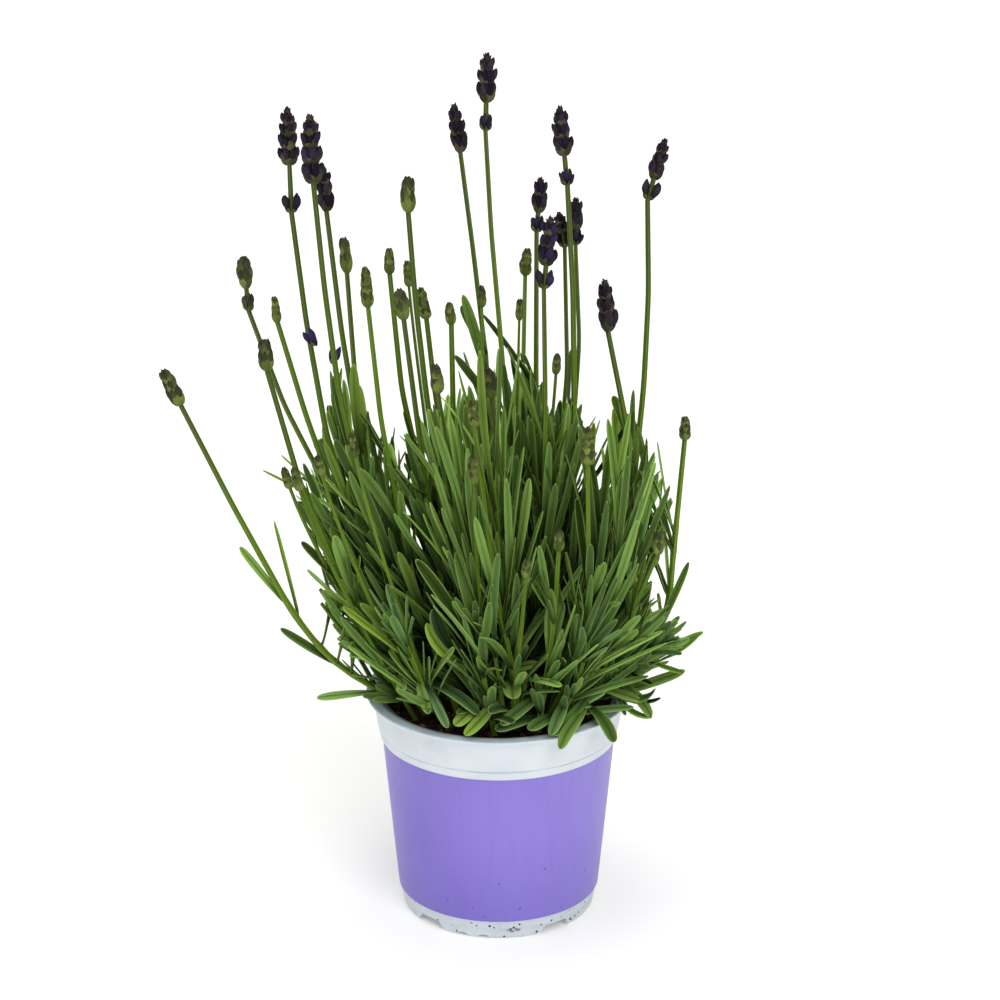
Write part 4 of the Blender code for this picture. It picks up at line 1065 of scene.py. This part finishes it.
def grow_between(growth, shoot):
    distances = np.linspace(0.0, shoot.length, max(int(shoot.length / (9 * MM)), 4))
    points = [shoot.at(distance) for distance in distances]
    radii = np.linspace(1.25, 0.75, len(points)) * MM
    sweep_stalk(growth, points, radii, distances / shoot.length * 0.3, dice.random() * 0.5, 1)
    distance = dice.uniform(14, 30) * MM
    turn = dice.uniform(0, math.tau)
    while distance < shoot.length - 1 * MM:
        share = distance / shoot.length
        rise = math.sin(min(share * 1.5 + 0.25, 1.0) * math.pi / 2)
        for half in (0.0, math.pi):
            length = (38 + 34 * rise) * dice.uniform(0.75, 1.15) * MM
            width = dice.uniform(2.9, 4.6) * MM
            light, yellow, grey = leaf_tone(shoot.at(distance)[2], 0.08)
            # A little darker than the frame's leaves: painted shade inside the plant.
            tone = (light * 0.85, yellow, grey)
            splay = math.radians(dice.uniform(5, 20) + (10 if share < 0.25 else 0))
            for shorter in (1.0, 0.7, 0.45):
                face = turn + half + dice.uniform(-0.25, 0.25)
                arch = dice.uniform(-0.25, 0.45)
                shape = (length * shorter, width, splay, arch)
                if grow_blade(growth, shoot, long_leaf, distance, face, *shape, tone):
                    break
        if dice.random() < 0.45:
            grow_tuft(growth, shoot, distance, [turn, turn + math.pi], 3, 20)
        distance += dice.uniform(9, 17) * MM
        turn += math.pi / 2 + dice.uniform(-0.3, 0.3)


# Broad low leaves round the pot's mouth: points from stalk to tip, width, then how
# light, how yellow and how grey each is
MOUTH_LEAVES = (
    (((-39, -42, 138), (-36, -48, 130), (-33, -54, 123)), 5.0, 0.5, 0.2, 0.2),
    (((-34, -44, 133), (-29, -52, 126), (-24, -59, 118)), 4.4, 0.4, 0.0, 0.9),
    (((-33, -40, 133), (-23, -47, 132), (-9, -55, 123)), 6.6, 0.05, 0.0, 0.5),
    (((-45, -42, 141), (-46, -45, 136), (-46, -49, 132)), 5.0, 0.5, 0.3, 0.5),
    (((-14, -45, 144), (-29, -50, 157), (-34, -50, 168)), 6.4, 0.6, 0.5, 0.0),
    (((-18, -42, 146), (-26, -44, 158), (-31, -42, 172)), 8.0, 0.0, 0.0, 0.4),
    (((43, -42, 122), (50, -50, 118), (55, -58, 110)), 6.4, 0.1, 0.1, 0.1),
    (((51, -30, 125), (61, -36, 124), (69, -40, 125), (75, -42, 131)), 5.2, 0.1, 0.1, 0.1),
    (((58, -28, 120), (65, -30, 119), (71, -33, 120), (78, -35, 123)), 3.0, 0.0, 0.0, 0.0),
    (((58, -24, 119), (67, -34, 114), (74, -38, 114)), 3.8, 0.4, 0.2, 0.1),
    (((56, -28, 123), (59, -34, 119), (61, -38, 115)), 2.8, 0.3, 0.0, 0.9),
    (((70, -28, 140), (80, -30, 137), (89, -30, 134)), 2.8, 0.2, 0.1, 0.0),
    (((62, -26, 133), (68, -30, 131), (74, -32, 129)), 2.8, 0.0, 0.0, 0.0),
    (((80, -22, 138), (90, -28, 147), (97, -30, 155)), 2.5, 0.3, 0.2, 0.0),
    (((53, -34, 132), (53, -36, 140), (53, -37, 149)), 5.2, 0.7, 0.0, 0.9),
    (((1, -44, 129), (-7, -54, 122), (-16, -63, 116)), 6.2, 0.6, 0.5, 0.0),
    (((-9, -42, 126), (-15, -52, 122), (-21, -58, 119)), 6.8, 0.6, 0.5, 0.0),
    (((5, -36, 133), (6, -48, 136), (7, -59, 133)), 9.0, 0.5, 0.2, 0.2),
    (((42, -42, 127), (35, -53, 121), (26, -63, 116)), 6.4, 0.2, 0.1, 0.3),
    (((22, -42, 130), (11, -52, 125), (1, -60, 120)), 6.4, 0.2, 0.1, 0.4),
    (((42, -44, 125), (37, -55, 121), (32, -64, 117), (29, -68, 111)), 6.6, 0.25, 0.2, 0.2),
)


def grow_mouth_leaves():
    growth = Growth("mouth_leaves")
    for points, width, *tone in MOUTH_LEAVES:
        points = np.array(points, float) * MM
        marks = lengths_along(points)
        path = smooth_path(marks / marks[-1], points, min(len(points) - 1, 3), 16)
        across = np.tile(unit(np.cross(unit(path[-1] - path[0]), FACING)), (len(path), 1))
        twist = math.radians(dice.uniform(-14, 14))
        growth.add(long_leaf, lay(long_leaf, path, across, width * MM, 1.0 * MM, twist), tone, 0)
    made = growth.finish([blade_finish], 60)
    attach(made, "root")


FILL_PIECES = 8
FILL_SHOOTS = 7  # in each piece


def fill_gaps():
    """The leafy growth in the middle of the plant, sorted from left to right."""
    stems = sorted(shoots.values(), key=lambda shoot: shoot.at(shoot.length * 0.6)[0])
    gap = len(stems) / (FILL_PIECES * FILL_SHOOTS)
    for piece in range(FILL_PIECES):
        growth = Growth(f"inner_growth_{piece + 1}")
        for index in range(FILL_SHOOTS):
            first = min(int((piece * FILL_SHOOTS + index) * gap), len(stems) - 1)
            second = max(0, min(first + dice.choice((-3, -2, -1, 1, 2, 3)), len(stems) - 1))
            share, drop = dice.uniform(0.25, 0.6), dice.uniform(24, 95)
            grow_between(growth, Between(stems[first], stems[second], share, drop))
        made = growth.finish([blade_finish, stalk_finish], 60)
        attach(made, "root")


# ---------------------------------------------------------------- flower spikes


SPIKE_LEVEL = (0.2, 1.0, 0.1)
# A whorl, open or still closed: how long its calyces are and how far they lean, what
# they tilt and curl by, the length, curl and width of its bracts, and their number
OPEN_WHORL = (1.36, 1.0, 1.15, 0.25, 0.8, 0.95, 1.1, 3)
CLOSED_WHORL = (1.75, 0.75, 1.5, 1.05, 0.82, 1.15, 1.35, 4)
# Rows of the crown: how far up, how many, how far they lean and how long they are
CROWN_ROWS = ((-0.35, 5, 0.5, 0.62), (-0.08, 4, 0.3, 0.6), (0.1, 3, 0.1, 0.52))
# A side whorl's clusters, wide open or not: turn, lean, length and width of each calyx
OPEN_FANS = ((-0.35, 0.62, 8.8, 3.7), (0.45, 0.44, 9.6, 3.5))
UPRIGHT_FANS = ((-0.4, 0.5, 6.2, 2.9), (0.5, 0.3, 7.4, 2.8))


class Spike:
    """Calyces and bracts set round an axis."""

    def __init__(self, growth, axis, ripeness):
        self.growth = growth
        self.axis = axis
        self.green, self.violet = ripeness

    def set(self, form, slot, tone, foot, turn, reach, tilt, curl, length, width):
        """Turn one part round the axis, reach out from it, tilt it away and curl it."""
        outward = turned(across_from(self.axis, SPIKE_LEVEL), turn)
        first, last = (turned((self.axis, outward), angle) for angle in (tilt, tilt - curl))
        path = bowed(foot + outward * reach, first, last, length, 6)
        across = np.tile(np.cross(self.axis, outward), (len(path), 1))
        self.growth.add(form, lay(form, path, across, width, width), tone, slot)

    def calyx(self, *shape, tone=None):
        tone = tone or (dice.random() ** 1.5, self.green, self.violet * dice.random() ** 1.5)
        self.set(calyx_form, 0, tone, *shape)

    def bract(self, tone, *shape):
        self.set(bract_form, 1, tone, *shape)

    def tier(self, foot, turn, radius, step, crowd):
        """One whorl: a cup of upright calyces, with broad bracts about it."""
        whorl = CLOSED_WHORL if self.green > 0.5 else OPEN_WHORL
        tall, lean, tilt, curl, bract_tall, bract_curl, bract_wide, bracts = whorl
        length = step * tall
        wide = min(radius * 0.86, length * 0.42)
        spread = max(radius * 1.04 - wide * 0.4 - 0.4 * MM, 0.2 * MM)
        mean = math.atan2(spread, length * 0.78) * lean
        for place in range(crowd):
            way = turn + math.tau * (place + 0.5) / crowd + dice.uniform(-0.2, 0.2)
            lean = mean * dice.uniform(0.85, 1.15)
            size = length * dice.uniform(0.86, 1.1), wide * dice.uniform(0.85, 1.1)
            self.calyx(foot, way, 0.3 * MM, lean * tilt, lean * curl, *size)
        for place in range(crowd - 2):
            way = turn + math.tau * place / (crowd - 2) + dice.uniform(-0.3, 0.3)
            self.calyx(foot, way, 0.3 * MM, mean * 0.5, mean * 0.4, length * 1.08, wide)
        foot = foot - self.axis * 0.3 * MM
        lean = mean * 1.55 + 0.2
        for place in range(bracts):
            tone = (dice.random(), min(1.0, self.green + dice.uniform(0.0, 0.3)), 0.0)
            way = turn + math.tau * place / bracts
            size = length * bract_tall, radius * bract_wide
            self.bract(tone, foot, way, 0.8 * MM, lean, lean * bract_curl, *size)

    def crown(self, foot, turn, girth, scale):
        """The tuft of narrow pointed bracts and small buds that ends a spike."""
        for row, (rise, count, lean, share) in enumerate(CROWN_ROWS):
            at = foot + self.axis * rise * scale
            for place in range(count):
                way = turn + row * 0.6 + place * math.tau / count + dice.uniform(-0.2, 0.2)
                size = share * scale * dice.uniform(0.85, 1.05)
                self.calyx(at, way, 0.3 * MM, lean * 0.8, 0.1, size * 0.85, girth * 0.2)
                tone = (dice.random(), self.green * dice.uniform(0.8, 1.0), 0.5)
                self.bract(tone, at, way + 0.3, 0.5 * MM, lean, -0.15, size, girth * 0.26)

    def side_whorl(self, foot, wide_open):
        """The separate pair of flower clusters under a spike."""
        turn = dice.uniform(-0.3, 0.3)
        for half in (0.0, math.pi):
            for fan, lean, size, width in OPEN_FANS if wide_open else UPRIGHT_FANS:
                size *= dice.uniform(0.85, 1.1)
                way = turn + half + fan
                self.calyx(foot, way, 0.7 * MM, lean, lean * 0.75, size * MM, width * MM)
            tone = (dice.random(), min(1.0, self.green + 0.4), 0.0)
            below = foot - self.axis * 0.5 * MM
            self.bract(tone, below, turn + half, 0.9 * MM, 0.7, 0.45, 4.6 * MM, 4.4 * MM)
        if not wide_open:
            inner, outer = (0.4, self.green, 0.6), (0.2, self.green, 0.3)
            for way in (turn + 1.6, turn - 1.6):
                self.calyx(foot, way, 0.9 * MM, 0.2, 0.15, 8.2 * MM, 2.7 * MM, tone=inner)
                self.calyx(foot, way + 0.9, 0.9 * MM, 0.7, 0.2, 6.4 * MM, 2.2 * MM, tone=outer)


def build_spike(growth, start, tip, girth, ripeness, pitch=7.4, crowd=6):
    """Whorls stacked from start to tip, each at right angles to the one below."""
    run = tip - start
    length = np.linalg.norm(run)
    spike = Spike(growth, run / length, ripeness)
    tiers = max(round(length / (pitch * MM)), 2)
    steps = [1.0 - 0.5 * (tier / tiers) ** 1.1 for tier in range(tiers)]
    scale = length / (sum(steps) + 0.6)
    turn = math.pi / 2 + dice.uniform(-0.35, 0.35)
    foot = start
    for tier, step in enumerate(steps):
        share = tier / tiers
        radius = girth / 2 * 1.05 * (1.0 - 0.4 * share**1.5)
        turn += math.pi / 2 + dice.uniform(-0.35, 0.35)
        spike.tier(foot, turn, radius, step * scale, crowd if share < 0.6 else crowd - 1)
        foot = foot + spike.axis * step * scale
    spike.crown(foot, turn, girth, scale)


# Flower heads that are still olive, and how far each has turned from green
UNRIPE = {1: 0.66, 2: 0.6, 3: 0.66, 7: 0.92, 8: 0.8, 9: 0.8, 12: 0.95, 13: 0.72}
VIOLET = {4: 0.3, 5: 0.45, 10: 0.15, 11: 0.3, 14: 0.3, 15: 0.95, 18: 0.6, 20: 0.4}
OPEN_WHORLS = (4, 15, 16, 20)  # heads whose lowest flowers stand apart in a V
BUD_PITCH = 4.4  # mm from one whorl of a green bud to the next
BUD_CROWD = 5


def read_head(number):
    """(foot, tip, girth, start of the spike above any separate whorl)."""
    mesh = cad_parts[f"flower_head_{number:02d}"].data
    places = np.unique(np.round(np.array([vert.co for vert in mesh.vertices]), 6), axis=0)
    foot = shoots[f"flower_stem_{number:02d}"].spine[-1]
    centre = places.mean(axis=0)
    axis = unit(np.linalg.svd(places - centre)[2][0])
    if (centre - foot) @ axis < 0:
        axis = -axis
    top = places[((places - foot) @ axis).argmax()]
    axis = unit(top - foot)
    along = (places - foot) @ axis
    out = np.linalg.norm(places - foot - along[:, None] * axis, axis=1)
    waist = along[(out < 1.3 * MM) & (along > 5 * MM) & (along < along.max() - 2 * MM)]
    return foot, top, out.max() * 2, waist.max() if len(waist) else 0.0


def make_head(number):
    foot, top, girth, start = read_head(number)
    axis = unit(top - foot)
    growth = Growth(f"lavender_spike_{number:02d}")
    ripeness = (UNRIPE.get(number, 0.0), VIOLET.get(number, 0.2))
    reach = np.linalg.norm(top - foot)
    if start > 0:
        whorl = Spike(growth, axis, ripeness)
        whorl.side_whorl(foot + axis * 0.8 * MM, number in OPEN_WHORLS)
    points = [foot + axis * reach * share for share in (0.0, 0.3, 0.6, 0.85)]
    radii = [1.05 * MM, 1.0 * MM, 0.8 * MM, 0.5 * MM]
    sweep_stalk(growth, points, radii, [0.95] * 4, 0.4, 2)
    build_spike(growth, foot + axis * (start + 0.4 * MM), top, girth, ripeness)
    head = growth.finish(spike_finishes)
    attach(head, "root")
    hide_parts(f"flower_head_{number:02d}")


def make_shoot(shoot):
    """A stalk with its leaves and, on some shoots, its bud."""
    growth = Growth("grown_" + shoot.name)
    distances = np.linspace(0.0, shoot.length, max(int(shoot.length / (5 * MM)), 6))
    points = [shoot.at(distance) for distance in distances]
    for _ in range(2):
        points[1:-1] = [(a + b * 2 + c) / 4 for a, b, c in zip(points, points[1:], points[2:])]
    points[0] = points[0] - np.array((0, 0, 1.5 * MM))
    marks = [shoot.lengths[level] + 1.5 * MM for level in shoot.nodes]
    radii = []
    for distance in distances:
        near = min([abs(distance - mark) for mark in marks] or [1.0])
        swell = 0.22 * math.exp(-((near / (3 * MM)) ** 2))
        radii.append((1.38 - 0.36 * distance / shoot.length + swell) * MM)
    bare = shoot.name.startswith("flower")
    upwards = distances / shoot.length if bare else distances / shoot.length * 0.7
    sweep_stalk(growth, points, radii, upwards, dice.random(), 1)
    grow_frame_leaves(growth, shoot)
    grow_tufts(growth, shoot)
    if shoot.bud:
        neck, tip, girth = shoot.bud
        spike = Growth("green_bud_" + shoot.name[-2:])
        foot = neck - unit(tip - neck) * 0.6 * MM
        build_spike(spike, foot, tip, girth, (0.97, 0.0), BUD_PITCH, BUD_CROWD)
        bud = spike.finish(spike_finishes[:2])
        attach(bud, "root")
    made = growth.finish([blade_finish, stalk_finish], 60)
    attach(made, "root")
    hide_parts(shoot.name)


# Buds on thin young stalks: the tip, the bud's length and its girth
YOUNG_BUDS = (
    ((-45, 66, 312), 13.0, 5.0),
    ((-12, -68, 258), 14.0, 6.0),
    ((28, 10, 282), 10.0, 4.5),
    ((13, -75, 210), 9.0, 5.0),
    ((-95, -50, 246), 12.0, 5.0),
    ((-101, -30, 239), 11.0, 4.6),
    ((-84, -45, 250), 10.0, 4.5),
    ((-68, -50, 263), 12.0, 5.0),
    ((-8, 5, 317), 10.0, 4.5),
    ((10, 10, 309), 10.0, 4.2),
    ((77, -10, 192), 11.0, 5.5),
)


def make_young_bud(number, tip, length, girth):
    foot = np.array((tip[0] * 0.42, tip[1] * 0.5, SOIL_TOP - MM))
    lean = unit(np.array((tip[0] * 0.35, tip[1] * 0.2, tip[2] - SOIL_TOP)))
    neck = tip - lean * length
    span = np.linalg.norm(neck - foot)
    points = []
    for share in np.linspace(0, 1, 16):
        early = foot + np.array((0, 0, 1)) * span * share * 0.5 + (neck - foot) * share * 0.5
        late = neck - lean * span * (1 - share)
        points.append(early * (1 - share) ** 1.5 + late * (1 - (1 - share) ** 1.5))
    growth = Growth(f"young_bud_{number:02d}")
    radii, upwards = np.linspace(1.0, 0.7, len(points)) * MM, np.linspace(0.1, 0.7, len(points))
    sweep_stalk(growth, points, radii, upwards, dice.random(), 2)
    build_spike(growth, neck, tip, girth, (0.85, 0.0), BUD_PITCH, BUD_CROWD)
    made = growth.finish(spike_finishes)
    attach(made, "root")


# Small violet flower buds in leaf axils: the place and which way they lean across
AXIL_FLOWERS = (((-86, -2, 290), -0.5), ((-79, 4, 279), 0.35))


def make_axil_flowers():
    growth = Growth("axil_flowers")
    for place, lean in AXIL_FLOWERS:
        foot = np.array(place) * MM
        tuft = Spike(growth, unit(np.array((math.sin(lean), -0.2, math.cos(lean)))), (0.9, 0.0))
        for turn in (0.2, 2.3, 4.4):
            tone = (dice.random(), 0.0, 0.9)
            tuft.calyx(foot, turn, 0.6 * MM, 0.25, 0.2, 9.5 * MM, 3.4 * MM, tone=tone)
        for turn in (1.2, 4.3):
            tuft.bract((0.4, 0.9, 0.0), foot, turn, 0.6 * MM, 0.3, 0.2, 4.5 * MM, 3.6 * MM)
    made = growth.finish(spike_finishes)
    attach(made, "root")


# ---------------------------------------------------------------- making it all

pot = make_pot()
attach(pot, "root")
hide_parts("pot")

soil = make_soil()
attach(soil, "root")
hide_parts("soil")

long_leaf = drawn_out("long_leaf", BLADE, LEAF_ROWS)
small_leaf = drawn_out("small_leaf", BLADE, SMALL_LEAF_ROWS)
calyx_form = drawn_out("calyx", ring_of(8, 0.12), CALYX_ROWS, underside=False)
bract_form = drawn_out("bract", BRACT, BRACT_ROWS, underside=False)
crumb_form = drawn_out("crumb", ring_of(5, 0.2), CRUMB_ROWS, underside=False)

crumb_pile = Growth("soil_crumbs")
for _ in range(900):
    turn = dice.uniform(0, math.tau)
    radius = math.sqrt(dice.random()) * (SOIL_RADIUS - 2 * MM)
    size = dice.choice((0.9, 1.3, 1.8, 2.6, 3.4)) * dice.uniform(0.8, 1.2) * MM
    way = np.array((dice.uniform(-1, 1), dice.uniform(-1, 1), dice.uniform(-0.5, 0.5)))
    length = size * (dice.choice((1.0, 1.2, 3.0)) if size < 2 * MM else 1.0)
    height = SOIL_TOP + dice.uniform(-0.4, 0.6) * MM
    place = np.array((radius * math.cos(turn), radius * math.sin(turn), height))
    path = bowed(place, way, way + np.array((dice.uniform(-0.5, 0.5), 0, 0.1)), length, 4)
    across = np.tile(unit(np.cross(way, (0.1, 0.2, 1.0))), (len(path), 1))
    laid = lay(crumb_form, path, across, size, size * 0.8)
    crumb_pile.add(crumb_form, laid, (dice.random(), dice.random(), 0), 0)
crumb_heap = crumb_pile.finish([crumbs()], 40)
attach(crumb_heap, "root")

names = [name for name in sorted(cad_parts) if "stem" in name or "shoot" in name]
shoots = {name: Shoot(name) for name in names}
stalk_outline = make_stalk_outline()
blade_finish, stalk_finish = leaf_blade(), stalk_skin()
spike_finishes = [calyx_skin(), bract_skin(), stalk_finish]
for shoot in shoots.values():
    make_shoot(shoot)
for number in range(1, 21):
    make_head(number)
for number, (tip, length, girth) in enumerate(YOUNG_BUDS, 1):
    make_young_bud(number, np.array(tip) * MM, length * MM, girth * MM)
make_axil_flowers()
fill_gaps()
grow_mouth_leaves()
throw_away(stalk_outline)


# ------------------------------------------------------- studio, light and view

bpy.ops.object.select_all(action="DESELECT")
bpy.ops.mesh.primitive_plane_add(size=12.0, location=(0, 0, -0.0002))
floor = bpy.context.object
floor.name = "studio_floor"
bpy.ops.object.transform_apply(location=True, rotation=False, scale=False)
floor.data.materials.append(studio_floor())

world = bpy.data.worlds.new("studio")
bpy.context.scene.world = world
world.use_nodes = True
world.node_tree.nodes["Background"].inputs["Color"].default_value = (1.0, 1.0, 1.0, 1.0)
world.node_tree.nodes["Background"].inputs["Strength"].default_value = 0.28


def sun(name, towards, strength, spread):
    """Even light from one side of the studio, soft as spread is wide."""
    bpy.ops.object.light_add(type="SUN", location=towards)
    lamp = bpy.context.object
    lamp.name = name
    lamp.data.energy = strength
    lamp.data.angle = math.radians(spread)
    lamp.rotation_euler = Vector(towards).to_track_quat("Z", "Y").to_euler()


sun("overhead_softbox", (-0.05, 0.05, 1.0), 2.15, 75)
sun("key_softbox", (0.3, -0.85, 0.7), 1.5, 40)
sun("left_fill", (-0.9, -0.3, 0.35), 0.4, 60)

bpy.ops.object.camera_add(location=CAMERA_PLACE, rotation=(math.radians(90 - CAMERA_DIP), 0, 0))
camera = bpy.context.object
camera.name = "front_camera"
camera.data.lens = 115.2
camera.data.sensor_width = 36.0
bpy.context.scene.camera = camera
